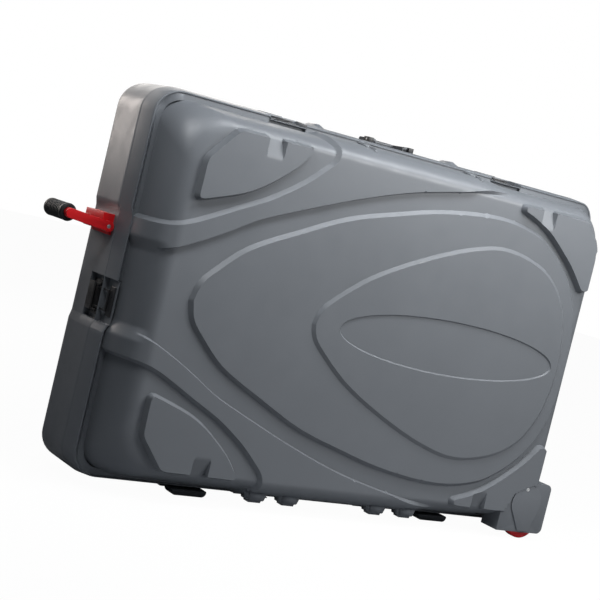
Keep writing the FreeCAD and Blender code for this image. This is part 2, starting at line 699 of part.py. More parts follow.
def cover_shape(sign):
    # A flat plate over the axle's end: round above, drawn in towards the floor.
    radius = mm("cover_radius")
    middle_x = wheel_place - mm("cover_shift")
    middle_z = wheel_height + mm("cover_lift")
    foot_z = wheel_height - mm("cover_foot_drop")
    waist_z = middle_z - radius * cover_waist_share
    waist = radius * math.sqrt(1 - cover_waist_share ** 2)
    face = outline(
        point(wheel_place - mm("cover_foot_left"), foot_z),
        (point(middle_x - waist, waist_z),),
        (point(middle_x, middle_z + radius), point(middle_x + waist, waist_z)),
        (point(wheel_place + mm("cover_foot_right"), foot_z),),
    )
    plate = prism(face, sign * housing_face, sign * (housing_face + mm("cover_plate")))
    return plate.cut(screw_hole(sign))


def axle_shape(sign):
    length = mm("housing_depth")
    start = Vector(wheel_place, sign * (housing_face - length), wheel_height)
    return Part.makeCylinder(mm("axle_radius"), length, start, Vector(0, sign, 0))


def housing_screw_shape(sign):
    outside = sign * (housing_face + mm("cover_plate"))
    centre = screw_spot(outside)
    radius = mm("housing_screw_radius")
    head = Part.makeCylinder(radius, mm("housing_screw_head"), centre, Vector(0, sign, 0))
    shank = Part.makeCylinder(radius / 2, mm("housing_cheek"), centre, Vector(0, -sign, 0))
    slot_floor = outside + sign * mm("housing_screw_head") / 2
    slot_edges = sorted((slot_floor, slot_floor + sign * mm("housing_screw_head")))
    slot_half = mm("housing_screw_slot") / 2
    slot = box((centre.x - slot_half, centre.x + slot_half), slot_edges,
               (centre.z - radius, centre.z + radius))
    return head.fuse(shank).cut(slot)


for shell_name, sign in (("rear", 1), ("front", -1)):
    shaped(f"{shell_name}_wheel_housing", housing_shape(sign))
    shaped(f"{shell_name}_wheel_cover", cover_shape(sign))
    shaped(f"{shell_name}_wheel_axle", axle_shape(sign))
    shaped(f"{shell_name}_housing_screw", housing_screw_shape(sign))
    for part_name, wheel_part in (("tyre", tyre_shape()), ("hub", hub_shape())):
        wheel_part.Placement = wheel_seat(sign)
        shaped(f"{shell_name}_wheel_{part_name}", wheel_part)

# Pull handle: a hooded base with two bosses, a yoke of two arms and a cross bar on a pin, and a grip sleeve
pin_x = "-case_length / 2 - handle_pin_offset"
grip_start = "handle_front + arm_width"
handle_span = "(2 * arm_width + handle_grip_length)"
base_y = f"{grip_start} + 2 * side_gap"
boss_starts = (base_y, f"{grip_start} + handle_grip_length - handle_boss_width - 2 * side_gap")
base_members = [
    block("handle_base_plate", "handle_plate", "handle_grip_length - 4 * side_gap", "handle_plate_height",
          "-case_length / 2 - handle_plate", base_y,
          "handle_height + handle_plate_rise - handle_plate_height / 2"),
    block("handle_base_hood", "handle_hood", "handle_grip_length - 4 * side_gap",
          "handle_plate_rise + handle_plate_height / 2 - handle_hood_lift",
          "-case_length / 2 - handle_hood", base_y, "handle_height + handle_hood_lift"),
]
for index, start in enumerate(boss_starts):
    base_members.append(rod(
        f"handle_boss_{index}", "Y", "handle_boss_radius", "handle_boss_width",
        pin_x, start, "handle_height"))
    base_members.append(block(
        f"handle_boss_foot_{index}", "handle_pin_offset", "handle_boss_width", "2 * handle_boss_radius",
        pin_x, start, "handle_height - handle_boss_radius"))
base_tools = [
    rod("handle_pin_bore", "Y", "handle_pin_radius + running_fit", "2 * case_depth", pin_x,
        "-case_depth / 2", "handle_height"),
]
handle_screws = []
for index, side in enumerate(("-1", "1")):
    spot = f"handle_front + {handle_span} / 2 + {side} * handle_screw_spread"
    base_tools.append(rod(
        f"handle_screw_hole_{index}", "X", "handle_screw_radius / 2 + running_fit", "2 * overrun",
        "-case_length / 2 - overrun", spot, "handle_height"))
    handle_screws.append(joined(
        f"handle_screw_{index}",
        rod(f"handle_screw_shank_{index}", "X", "handle_screw_radius / 2", "handle_plate",
            "-case_length / 2 - handle_plate", spot, "handle_height"),
        rod(f"handle_screw_head_{index}", "X", "handle_screw_radius", "handle_screw_head",
            "-case_length / 2 - handle_plate - handle_screw_head", spot, "handle_height"),
    ))
handle_base = joined("handle_base_solid", *base_members)
piece("pull_handle_base", cut("handle_base_bored", handle_base, joined("handle_base_bores", *base_tools)))
piece("pull_handle_screws", *handle_screws)
handle_pin = rod(
    "handle_pin_rod", "Y", "handle_pin_radius", handle_span, pin_x, "handle_front", "handle_height")
piece("pull_handle_pin", handle_pin)

# The yoke and grip are drawn pointing straight out, about the pin, and turned up to their rest angle
yoke_members = []
for index, start in enumerate(("handle_front", f"{grip_start} + handle_grip_length")):
    yoke_members.append(rod(f"yoke_eye_{index}", "Y", "handle_boss_radius", "arm_width", "0", start, "0"))
    yoke_members.append(block(
        f"yoke_arm_{index}", "arm_length", "arm_width", "arm_thickness",
        "-arm_length", start, "-arm_thickness / 2"))
    yoke_members.append(rod(
        f"yoke_end_{index}", "Y", "arm_thickness / 2", "arm_width", "-arm_length", start, "0"))
yoke_members.append(rod(
    "yoke_bar", "Y", "handle_bar_radius", handle_span, "-arm_length", "handle_front", "0"))
yoke = cut(
    "yoke_bored", joined("yoke_solid", *yoke_members),
    rod("yoke_bore", "Y", "handle_pin_radius + running_fit", "2 * case_depth", "0", "-case_depth / 2", "0"))
grip = cut(
    "grip_bored",
    rod("grip_solid", "Y", "handle_grip_radius", "handle_grip_length - 2 * side_gap",
        "-arm_length", f"{grip_start} + side_gap", "0"),
    rod("grip_bore", "Y", "handle_bar_radius + running_fit", "2 * case_depth",
        "-arm_length", "-case_depth / 2", "0"))
handle_seat = Placement(Vector(-half_length - mm("handle_pin_offset"), 0, mm("handle_height")),
                        Rotation(Vector(0, 1, 0), mm("handle_rest_angle")))
piece("pull_handle_yoke", yoke, seat=handle_seat)
piece("pull_handle_grip", grip, seat=handle_seat)

# Carry handle on the top edge: two mounts with pins and a bar that folds flat
carry_axis_z = "case_height / 2 + carry_pivot_height"
mounts = []
carry_pins = []
pin_length = "carry_mount + carry_arm + side_gap"
for index, (mount_x, pin_start) in enumerate((
    ("-carry_length / 2", "-carry_length / 2"),
    ("carry_length / 2 - carry_mount", f"carry_length / 2 - ({pin_length})"),
)):
    mounts.append(cut(
        f"carry_mount_bored_{index}",
        block(f"carry_mount_{index}", "carry_mount", "carry_mount_width", "carry_mount_height", mount_x,
              "carry_pivot_depth - carry_mount_width / 2", "case_height / 2"),
        rod(f"carry_mount_bore_{index}", "X", "carry_pin_radius + running_fit", "2 * carry_length",
            "-carry_length", "carry_pivot_depth", carry_axis_z),
    ))
    carry_pins.append(rod(
        f"carry_pin_{index}", "X", "carry_pin_radius", pin_length,
        pin_start, "carry_pivot_depth", carry_axis_z))
piece("carry_handle_mounts", *mounts)
piece("carry_handle_pins", *carry_pins)
arm_x = "(carry_length / 2 - carry_mount - side_gap - carry_arm)"
bar_depth = "carry_pivot_depth + carry_reach"
carry_members = [
    rod("carry_grip_bar", "X", "carry_grip_radius", f"2 * {arm_x}", f"-{arm_x}", bar_depth, carry_axis_z),
]
for index, start in enumerate((f"-{arm_x} - carry_arm", arm_x)):
    carry_members.append(block(
        f"carry_arm_{index}", "carry_arm", "carry_reach", "carry_thickness", start, "carry_pivot_depth",
        f"{carry_axis_z} - carry_thickness / 2"))
    carry_members.append(rod(
        f"carry_eye_{index}", "X", "carry_thickness / 2 + side_gap", "carry_arm", start,
        "carry_pivot_depth", carry_axis_z))
    carry_members.append(rod(
        f"carry_end_{index}", "X", "carry_thickness / 2", "carry_arm", start, bar_depth, carry_axis_z))
carry_bore = rod("carry_bar_bore", "X", "carry_pin_radius + running_fit", "2 * carry_length", "-carry_length",
                 "carry_pivot_depth", carry_axis_z)
piece("carry_handle_bar", cut("carry_bar_bored", joined("carry_bar_solid", *carry_members), carry_bore))

# Inside: a foam sheet on each shell's floor, and two straps with buckles across the rear foam
rear_floor = "case_depth / 2 - pad_rise + band_rise - shell_wall"
front_floor = "-case_depth / 2 + pad_rise + shell_wall"
foam_bottom = "(-case_height / 2 + housing_rise + shell_wall + foam_gap)"
for shell_name, foam_y, slope_x, slope_z in (
    ("rear", f"{rear_floor} - foam_thickness", "0", "0"),
    ("front", front_floor, "end_slope", "side_slope"),
):
    foam_end = f"(case_length / 2 - {slope_x} - {shell_name}_foam_end_gap)"
    foam_top = f"(case_height / 2 - {slope_z} - {shell_name}_foam_top_gap)"
    piece(f"{shell_name}_foam", block(
        f"{shell_name}_foam_block", f"2 * {foam_end}", "foam_thickness", f"{foam_top} - {foam_bottom}",
        f"-{foam_end}", foam_y, foam_bottom))
strap_y = f"{rear_floor} - foam_thickness - strap_thickness"
strap_bottom = f"({foam_bottom} + strap_end_gap)"
strap_length = f"(case_height / 2 - rear_foam_top_gap - strap_end_gap - {strap_bottom})"
for side_name, sign in (("left", "-1"), ("right", "1")):
    piece(f"{side_name}_strap", block(
        f"{side_name}_strap_block", "strap_width", "strap_thickness", strap_length,
        f"{sign} * strap_place - strap_width / 2", strap_y, strap_bottom))
    piece(f"{side_name}_strap_buckle", block(
        f"{side_name}_buckle_block", "buckle_width", "buckle_thickness", "buckle_length",
        f"{sign} * strap_place - buckle_width / 2", f"{strap_y} - buckle_thickness",
        f"{strap_bottom} + ({strap_length} - buckle_length) / 2"))

doc.recompute()

# The part's own origin: the middle of its footprint, on the ground
whole = FreeCAD.BoundBox()
for made, seat in sub_parts:
    shape = made.Shape.copy()
    shape.Placement = seat.multiply(shape.Placement)
    whole.add(shape.optimalBoundingBox(False))
home = Placement(Vector(-whole.Center.x, -whole.Center.y, -whole.ZMin), Rotation())
for made, seat in sub_parts:
    made.Placement = home.multiply(seat).multiply(made.Placement)
doc.recompute()

for checked in doc.Objects:
    if "Invalid" in checked.State or "Error" in checked.State:
        raise RuntimeError(f"{checked.Label} did not build: {checked.State}")
for made, seat in sub_parts:
    if made.Shape.isNull() or not made.Shape.isValid() or not made.Shape.Solids:
        raise RuntimeError(f"{made.Label} has no valid solid")

os.makedirs("parts", exist_ok=True)
for made, seat in sub_parts:
    made.Shape.exportStep(f"parts/{made.Label}.step")
print(f"{len(sub_parts)} sub-parts, box {whole.XLength:.1f} x {whole.YLength:.1f} x {whole.ZLength:.1f} mm")
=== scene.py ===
import bmesh
import bpy
import json
import math
import numpy as np
from mathutils import Matrix, Vector

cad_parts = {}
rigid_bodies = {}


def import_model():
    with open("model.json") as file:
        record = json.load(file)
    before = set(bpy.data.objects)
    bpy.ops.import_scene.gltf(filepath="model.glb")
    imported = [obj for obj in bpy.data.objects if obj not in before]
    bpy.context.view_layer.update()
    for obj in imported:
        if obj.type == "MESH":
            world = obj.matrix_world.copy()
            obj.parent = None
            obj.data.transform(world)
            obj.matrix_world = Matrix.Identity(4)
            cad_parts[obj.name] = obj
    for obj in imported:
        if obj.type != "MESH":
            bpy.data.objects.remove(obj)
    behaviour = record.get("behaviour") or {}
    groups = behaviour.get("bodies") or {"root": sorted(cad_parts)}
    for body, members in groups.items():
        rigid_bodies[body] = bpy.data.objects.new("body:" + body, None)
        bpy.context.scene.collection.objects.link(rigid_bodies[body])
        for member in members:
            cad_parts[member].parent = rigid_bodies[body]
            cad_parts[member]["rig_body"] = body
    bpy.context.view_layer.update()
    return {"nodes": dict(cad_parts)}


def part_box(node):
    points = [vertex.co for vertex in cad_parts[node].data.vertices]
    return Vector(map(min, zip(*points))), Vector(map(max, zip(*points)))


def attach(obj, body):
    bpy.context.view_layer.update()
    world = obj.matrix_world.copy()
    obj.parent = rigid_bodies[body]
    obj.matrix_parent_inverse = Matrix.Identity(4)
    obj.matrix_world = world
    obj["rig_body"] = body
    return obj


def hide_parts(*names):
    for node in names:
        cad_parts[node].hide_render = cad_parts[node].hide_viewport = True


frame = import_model()

# Rear shell: the deeper half, a plain tray of moulded plastic with flush walls, a rounded back edge,
# four seats sunk into the wall for the latches, and a thickened end wall above and below the handle.
rim_middle = Vector((
    (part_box("left_hinge_pin")[0].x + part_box("right_hinge_pin")[1].x) / 2, 0,
    (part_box("front_shell")[0].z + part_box("front_shell")[1].z) / 2))
rim_half_length = 0.602
rim_half_height = 0.400
rim_corner = 0.058
back_depth = 0.138
back_round = 0.025
wall_thickness = 0.004
seat_half_width = 0.044
seat_wall = 0.0012
seat_sink = 0.012
seat_reach = 0.062
top_seat_place = 0.300
end_seat_height = -0.043
block_rise = 0.006
block_slope = 0.015
low_block_top = -0.0885
high_block_bottom = 0.134
pad_depth = 0.146
back_leaf_rise = 0.004
back_leaf_slope = 0.004
lump_place = 0.187
lump_half_width = 0.017
lump_rise = 0.008
shell_grey = (0.152, 0.1619, 0.1759, 1)


def round_rim(xs, zs, turns):
    # Round a rectangle: each place with its outward direction, and a fan of directions at each corner.
    fan = [(math.cos(a), math.sin(a)) for a in (math.pi / 2 * k / turns for k in range(1, turns))]
    path = [(xs[0], z, -1, 0) for z in zs] + [(xs[0], zs[-1], -c, s) for c, s in fan]
    path += [(x, zs[-1], 0, 1) for x in xs] + [(xs[-1], zs[-1], s, c) for c, s in fan]
    path += [(xs[-1], z, 1, 0) for z in reversed(zs)] + [(xs[-1], zs[0], c, -s) for c, s in fan]
    return path + [(x, zs[0], 0, -1) for x in reversed(xs)] + [(xs[0], zs[0], -s, -c) for c, s in fan]


def points_at(x, y, z):
    return np.stack(np.broadcast_arrays(x, y, z), -1).reshape(-1, 3)


def grid_faces(columns, rows):
    return [(k, k + rows, k + rows + 1, k + 1)
            for i in range(columns - 1) for k in range(i * rows, (i + 1) * rows - 1)]


def ring_faces(low, high):
    # The faces between two loops of points; a loop of one point makes a fan, and a point met twice counts once.
    faces = []
    count = max(len(low), len(high))
    for k in range(count):
        n = (k + 1) % count
        corners = (low[k % len(low)], low[n % len(low)], high[n % len(high)], high[k % len(high)])
        faces.append(tuple(dict.fromkeys(corners)))
    return faces


def tray_skin(x_lines, z_lines, turns, profile):
    # A core grid on the face, a column of points down the wall at each of its border points, and a fan
    # of columns round each corner. The profile gives core half length, core half height, reach, depth.
    columns, rows = len(x_lines), len(z_lines)
    border = np.array(round_rim(x_lines / x_lines[-1], z_lines / z_lines[-1], turns))
    loop = [i * rows + j for i, j, _, _ in round_rim(range(columns), range(rows), turns)]
    core_x, core_z = np.meshgrid(x_lines, z_lines, indexing="ij")
    places = [points_at(core_x, profile[0][3], core_z)]
    faces = grid_faces(columns, rows)
    for step, (half_x, half_z, reach, depth) in enumerate(profile[1:]):
        places.append(points_at(
            border[:, 0] * half_x + border[:, 2] * reach, depth, border[:, 1] * half_z + border[:, 3] * reach))
        start = columns * rows + step * len(border)
        outer = range(start, start + len(border))
        faces += ring_faces(loop, outer)
        loop = outer
    return np.concatenate(places), faces, loop


def point_normals(places, faces):
    mesh = bpy.data.meshes.new("normals")
    mesh.from_pydata(places.tolist(), [], faces)
    normals = np.zeros(len(places) * 3, np.float32)
    mesh.vertex_normals.foreach_get("vector", normals)
    bpy.data.meshes.remove(mesh)
    return normals.reshape(-1, 3).astype(float)


def ramp(low, high, value):
    return np.clip((value - low) / (high - low), 0, 1)


def ease(low, high, value):
    share = ramp(low, high, value)
    return share * share * (3 - 2 * share)


def smooth_line(points, pieces):
    # A curve through a few measured points, as close points along it.
    points = np.array(points, float)
    ends = np.concatenate([2 * points[:1] - points[1:2], points, 2 * points[-1:] - points[-2:-1]])
    share = np.linspace(0, 1, pieces, endpoint=False)[:, None]
    out = []
    for a, b, c, d in zip(ends, ends[1:], ends[2:], ends[3:]):
        out.append(0.5 * (2 * b + (c - a) * share + (2 * a - 5 * b + 4 * c - d) * share ** 2
                          + (3 * b - a - 3 * c + d) * share ** 3))
    return np.concatenate(out + [points[-1:]])


def line_distance(x, z, line):
    # How far each point lies from a line, and the nearest place on it.
    start, step = line[:-1], np.diff(line, axis=0)
    length = (step ** 2).sum(1)
    near = np.zeros((len(x), 2))
    gap = np.zeros(len(x))
    for first in range(0, len(x), 4000):
        spots = np.stack([x[first:first + 4000], z[first:first + 4000]], 1)[:, None, :]
        share = np.clip(((spots - start) * step).sum(2) / length, 0, 1)
        foot = start + share[:, :, None] * step
        gaps = ((spots - foot) ** 2).sum(2)
        best = gaps.argmin(1)
        row = np.arange(len(best))
        near[first:first + 4000] = foot[row, best]
        gap[first:first + 4000] = np.sqrt(gaps[row, best])
    return gap, near


def is_inside(x, z, line):
    inside = np.zeros(len(x), bool)
    for (ax, az), (bx, bz) in zip(line, np.roll(line, -1, axis=0)):
        if az != bz:
            inside ^= ((az > z) != (bz > z)) & (x < (bx - ax) * (z - az) / (bz - az) + ax)
    return inside


def edge_side(x, z, line, outline):
    # Distance in from an edge, with the nearest place on it; negative outside.
    gap, near = line_distance(x, z, line)
    return np.where(is_inside(x, z, outline), gap, -gap), near


def leaf_side(x, z, line):
    # The same for a leaf or oval, of which only the upper edge is drawn: it mirrors below the mid height.
    outline = np.concatenate([line, [(line[-1, 0], -0.01), (line[0, 0], -0.01)]])
    return edge_side(x, np.abs(z), line, outline)


outer_leaf = smooth_line([
    (-0.474, 0), (-0.463, 0.036), (-0.437, 0.067), (-0.371, 0.124), (-0.266, 0.177), (-0.155, 0.227),
    (-0.034, 0.262), (0.068, 0.287), (0.177, 0.303), (0.264, 0.306), (0.339, 0.295), (0.388, 0.277),
    (0.445, 0.238), (0.490, 0.190), (0.520, 0.130), (0.534, 0.060), (0.538, 0)], 12)


def rounded(points, reach):
    # An outline with its corners rounded off.
    out = []
    for before, corner, after in zip(np.roll(points, 1, axis=0), points, np.roll(points, -1, axis=0)):
        first, last = [corner + (other - corner) * min(0.5, reach / np.linalg.norm(other - corner))
                       for other in (before, after)]
        out += [first * (1 - t) ** 2 + corner * 2 * t * (1 - t) + last * t ** 2 for t in (0, 0.32, 0.65, 0.96)]
    return np.array(out)


def pad_line(side):
    # A corner pad's outline, upper half: bowed towards the leaf, with the case's corner cut off.
    if side < 0:
        bow = smooth_line([(-0.283, 0.339), (-0.323, 0.294), (-0.402, 0.236), (-0.506, 0.198)], 6)[1:-1]
        corners = [(-0.512, 0.278), (-0.455, 0.345), (-0.281, 0.347), *bow.tolist(), (-0.513, 0.197)]
        return rounded(np.array(corners), 0.011)
    bow = smooth_line([
        (0.514, 0.195), (0.474, 0.236), (0.430, 0.271), (0.382, 0.304), (0.335, 0.325), (0.299, 0.336)], 6)[:-1]
    corners = [(0.297, 0.337), (0.299, 0.348), (0.490, 0.350), (0.536, 0.300), (0.538, 0.192), (0.519, 0.190)]
    return rounded(np.array(corners + bow.tolist()), 0.008)


def pad_gap(x, z):
    # Distance in from the nearest pad's outline, negative outside, with the nearest place on it.
    height = np.abs(z)
    gap, near = np.full(len(x), -1.0), np.stack([x, height], 1)
    for side in (-1, 1):
        line = pad_line(side)
        close = (side * x > 0.24) & (height > 0.15)
        gap[close], near[close] = edge_side(x[close], height[close], np.concatenate([line, line[:1]]), line)
    return gap, near


notch_place = 0.369
notch_half = 0.0175
notch_foot = 0.0205


def pad_share(x, z, slope):
    # How much of a pad's full height stands at each point, with the ramp cut into each pad's long side.
    across = np.abs(np.abs(x) - notch_place)
    cut = ramp(notch_foot, notch_half, across) * ramp(0.310, 0.348, np.abs(z))
    return ramp(-slope, 0, pad_gap(x, z)[0]) * (1 - cut)


def seat_share(along):
    return ease(seat_half_width + seat_wall, seat_half_width, np.abs(along))


def sheet_from(places, faces):
    mesh = bpy.data.meshes.new("sheet")
    mesh.from_pydata(places, [], faces)
    sheet = bmesh.new()
    sheet.from_mesh(mesh)
    bpy.data.meshes.remove(mesh)
    return sheet


def add_object(name, data):
    made = bpy.data.objects.new(name, data)
    bpy.context.collection.objects.link(made)
    return made


def finish_mesh(name, sheet, sharp=None):
    # A smooth-shaded object from an edited mesh; edges that turn more than sharp degrees stay crisp.
    mesh = bpy.data.meshes.new(name)
    sheet.to_mesh(mesh)
    sheet.free()
    mesh.shade_smooth()
    if sharp:
        mesh.set_sharp_from_angle(angle=math.radians(sharp))
    return add_object(name, mesh)


def finish_outward(name, sheet, sharp):
    # The same, with the faces turned outwards first.
    bmesh.ops.recalc_face_normals(sheet, faces=sheet.faces)
    return finish_mesh(name, sheet, sharp)


well_mouth = 0.092
well_line = np.array([
    (0.452, -0.390), (0.452, -0.350), (0.4725, -0.3037), (0.522, -0.282), (0.580, -0.282), (0.580, -0.390)])


def close_tray(name, outer, inner, side):
    # Joins the outer and inner skins along the rim, and opens the corner that the wheel housing fills; the side
    # is 1 for the rear shell and -1 for the front.
    places, faces, border = outer
    inner_places, inner_faces, inner_border = inner
    count, ratio = len(places), len(border) // len(inner_border)
    closed = [face[::-side] for face in faces]
    closed += [tuple(k + count for k in face)[::side] for face in inner_faces]
    for c in range(len(inner_border)):
        run = [border[(c * ratio + k) % len(border)] for k in range(ratio + 1)]
        back = [inner_border[(c + 1) % len(inner_border)] + count, inner_border[c] + count]
        closed.append(tuple(run + back))
    sheet = sheet_from(np.concatenate([places, inner_places]).tolist(), closed)
    x, y, z = np.array([face.calc_center_median() for face in sheet.faces]).T
    hole = is_inside(x, z, well_line) & (side * y > well_mouth)
    bmesh.ops.delete(sheet, geom=[face for face, cut in zip(sheet.faces, hole) if cut], context="FACES")
    bmesh.ops.bridge_loops(sheet, edges=[edge for edge in sheet.edges if edge.is_boundary])
    bmesh.ops.translate(sheet, verts=sheet.verts, vec=rim_middle)
    return finish_mesh(name, sheet, 24)


def set_inputs(tree, node, inputs):
    # A socket is linked to the node's input, anything else is its value.
    for name, value in inputs.items():
        if isinstance(value, bpy.types.NodeSocket):
            tree.links.new(value, node.inputs[name])
        else:
            node.inputs[name].default_value = value
    return node


def add_node(tree, kind, inputs):
    return set_inputs(tree, tree.nodes.new("ShaderNode" + kind), inputs)


def new_material(name):
    made = bpy.data.materials.new(name)
    made.use_nodes = True
    tree = made.node_tree
    return made, tree, tree.nodes["Principled BSDF"], add_node(tree, "TexCoord", {}).outputs["Object"]


def mixed_colour(tree, factor, first, second):
    mix = tree.nodes.new("ShaderNodeMix")
    mix.data_type = "RGBA"
    return set_inputs(tree, mix, {"Factor": factor, "A": first, "B": second}).outputs["Result"]


def tones(tree, factor, colour, dark, light):
    # A colour that wanders between a darker and a lighter tone of itself.
    first, second = ([min(c * share, 1) for c in colour[:3]] + [1] for share in (dark, light))
    return mixed_colour(tree, factor, first, second)


def relief(tree, height, strength, distance):
    bump = add_node(tree, "Bump", {"Strength": strength, "Distance": distance, "Height": height})
    return bump.outputs["Normal"]


def moulded_plastic(name, colour, roughness, grain):
    # Injection moulded plastic: an even colour with faint flow shading, a fine spark-eroded grain and
    # a few rubbed patches that shine a little more.
    made, tree, shader, place = new_material(name)
    flow, rub, fine = [
        add_node(tree, "TexNoise", {"Scale": scale, "Detail": detail, "Vector": place}).outputs["Fac"]
        for scale, detail in ((5, 6), (28, 4), (1 / grain, 2))]
    shine = add_node(tree, "MapRange", {
        "From Min": 0.3, "From Max": 0.7, "To Min": roughness + 0.06, "To Max": roughness - 0.06,
        "Value": rub})
    set_inputs(tree, shader, {
        "Specular IOR Level": 0.45, "Roughness": shine.outputs["Result"],
        "Base Color": tones(tree, flow, colour, 0.93, 1.07),
        "Normal": relief(tree, fine, 0.3, 0.0003)})
    return made


def dress(made, material, slot, body, *nodes):
    made.data.materials.clear()
    made.data.materials.append(material)
    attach(made, body)
    if nodes:
        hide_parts(*nodes)
    return made


def fit_lines(lines, middle, half, foot):
    # Moves grid lines on to the top and foot of the two walls of a sunk or cut strip.
    for outward in (-1, 1):
        nearest = np.abs(lines - middle - outward * half).argmin()
        lines[nearest] = middle + outward * half
        lines[nearest + outward] = middle + outward * foot


rear_x = np.linspace(-0.544, 0.544, 161)
rear_z = np.linspace(-0.342, 0.342, 103)
for lines, middle in ((rear_x, -top_seat_place), (rear_x, top_seat_place), (rear_z, end_seat_height)):
    fit_lines(lines, middle, seat_half_width, seat_half_width + seat_wall)
for edge in (low_block_top - block_slope, high_block_bottom, high_block_bottom + block_slope):
    rear_z[np.abs(rear_z - edge).argmin()] = edge
wall_depths = [0.104, 0.094, 0.084, 0.074, 0.066, seat_reach + seat_wall, seat_reach, 0.054, 0.046, 0.038, 0.030,
               0.022, 0.015, 0.008, 0.003, 0.0006, 0]


def rear_profile(inset):
    half_x, half_z = rim_half_length - rim_corner, rim_half_height - rim_corner
    flat = rim_corner - back_round
    reach = back_round - inset
    steps = [(half_x, half_z, flat * k / 5, back_depth - inset) for k in range(6)]
    for k in range(1, 7):
        turn = math.pi / 2 * k / 6
        depth = back_depth - back_round + reach * math.cos(turn)
        steps.append((half_x, half_z, flat + reach * math.sin(turn), depth))
    for depth in wall_depths:
        lip = 0.0014 if depth == 0 and inset == 0 else 0
        steps.append((half_x, half_z, rim_corner - inset - lip, depth))
    return steps


def end_block(z):
    low = ramp(low_block_top, low_block_top - block_slope, z)
    return np.maximum(low, ramp(high_block_bottom, high_block_bottom + block_slope, z))


def rear_relief(places, normals, inside):
    # The raised leaf and pads of the back face, the sunk latch seats, two lumps on the top wall and the thick
    # ends of the end wall.
    x, y, z = places.T
    on_face = ease(0.130, 0.134, y)
    on_top = (np.abs(normals[:, 2]) > 0.9) & (z > 0)
    on_end = np.abs(normals[:, 0]) > 0.9
    gap, _ = leaf_side(x, z, outer_leaf)
    lift = back_leaf_rise * ease(-back_leaf_slope, back_leaf_slope, gap) * on_face * (not inside)
    depth_share = ease(seat_reach + seat_wall, seat_reach, y)
    lift -= seat_sink * on_top * depth_share * seat_share(np.abs(x) - top_seat_place)
    lift -= seat_sink * on_end * depth_share * seat_share(z - end_seat_height)
    if not inside:
        lump = np.clip(1 - ((np.abs(x) - lump_place) / lump_half_width) ** 2, 0, 1)
        lift += lump_rise * lump * on_top * ease(0.012, 0.018, y) * ease(0.064, 0.058, y)
    moved = places + normals * lift[:, None]
    if not inside:
        pad = pad_share(x, z, 0.007) * on_face
        moved[:, 1] += (pad_depth - moved[:, 1]) * pad
        thick = end_block(z) * np.clip(-normals[:, 0], 0, 1) * ease(0.132, 0.110, y)
        moved[:, 0] -= block_rise * thick
    return moved


rear_skins = []
for inset in (0, wall_thickness):
    places, faces, border = tray_skin(rear_x, rear_z, 10, rear_profile(inset))
    rear_skins.append((rear_relief(places, -point_normals(places, faces), inset > 0), faces, border))
rear_shell = close_tray("rear_shell_skin", *rear_skins, 1)
shell_plastic = moulded_plastic("shell_grey_plastic", shell_grey, 0.41, 0.0011)
dress(rear_shell, shell_plastic, "shell_plastic", "rear_case", "rear_shell")

# Front shell body: the shallower half, one moulding whose wall sweeps in from the rim to a face with raised
# shoulder bands, two leaves laid one on the other, a bare oval recess and four ramped corner pads.
face_depth = -0.132
body_start = -0.035
body_corner = 0.052
face_corner = 0.095
low_wall_sag = 0.006
pad_slope = 0.006
steep_step = 0.0014
end_sweep = 0.056
side_sweep = 0.036
body_half_length = 0.582
body_half_height = 0.380
band_rise = 0.008
wall_band_rise = 0.012
outer_rise = 0.008
inner_rise = 0.005
oval_sink = 0.003
step_half = 0.004
band_fade = (0.290, 0.190)
wall_band_start = (-0.540, -0.562)
inner_leaf = smooth_line([
    (-0.184, 0), (-0.177, 0.024), (-0.155, 0.051), (-0.081, 0.109), (0, 0.154), (0.097, 0.197), (0.174, 0.224),
    (0.242, 0.240), (0.302, 0.240), (0.367, 0.226), (0.415, 0.204), (0.456, 0.168), (0.487, 0.114), (0.503, 0.052),
    (0.507, 0)], 12)
oval_line = np.array([(0.183 + 0.301 * math.cos(a), 0.060 * math.sin(a)) for a in np.linspace(0, math.pi, 120)])
band_upper = smooth_line([
    (-0.680, 0.135), (-0.600, 0.137), (-0.557, 0.138), (-0.516, 0.150), (-0.476, 0.168), (-0.415, 0.199),
    (-0.353, 0.230), (-0.292, 0.270), (-0.253, 0.303), (-0.224, 0.332), (-0.217, 0.355), (-0.227, 0.371),
    (-0.250, 0.383), (-0.300, 0.392), (-0.380, 0.404)], 10)
band_lower = smooth_line([
    (0.460, 0.410), (0.330, 0.372), (0.253, 0.361), (0.162, 0.349), (0.055, 0.328), (-0.046, 0.303), (-0.165, 0.263),
    (-0.278, 0.219), (-0.364, 0.183), (-0.425, 0.148), (-0.485, 0.116), (-0.554, 0.086), (-0.588, 0.088),
    (-0.680, 0.086)], 10)
band_outline = np.concatenate([band_upper, band_lower])


def body_profile(inset):
    # Flat out to the face's edge, then a quarter ellipse down to the rim with a corner that tightens.
    half_x, half_z = body_half_length - end_sweep, body_half_height - side_sweep
    reach = face_corner - inset
    steps = [(half_x - face_corner, half_z - face_corner, reach * k / 23, face_depth + inset) for k in range(24)]
    for k in range(1, 25):
        turn = math.pi / 2 * k / 24
        depth = body_start + (face_depth + inset - body_start) * math.cos(turn)
        corner = face_corner + (body_corner - face_corner) * (1 - math.cos(turn))
        edge_x, edge_z = half_x + end_sweep * math.sin(turn), half_z + side_sweep * math.sin(turn)
        steps.append((edge_x - corner, edge_z - corner, corner - inset, depth))
    return steps


def body_edges(x, z):
    upper, upper_spot = edge_side(x, np.abs(z), band_upper, band_outline)
    lower, lower_spot = edge_side(x, np.abs(z), band_lower, band_outline)
    upper_near = np.abs(upper) < np.abs(lower)
    return {
        "band_upper": (np.where(upper_near, upper, np.sign(upper)), upper_spot),
        "band_lower": (np.where(upper_near, np.sign(lower), lower), lower_spot),
        "outer": leaf_side(x, z, outer_leaf),
        "inner": leaf_side(x, z, inner_leaf),
        "oval": leaf_side(x, z, oval_line),
        "pad": pad_gap(x, z),
    }


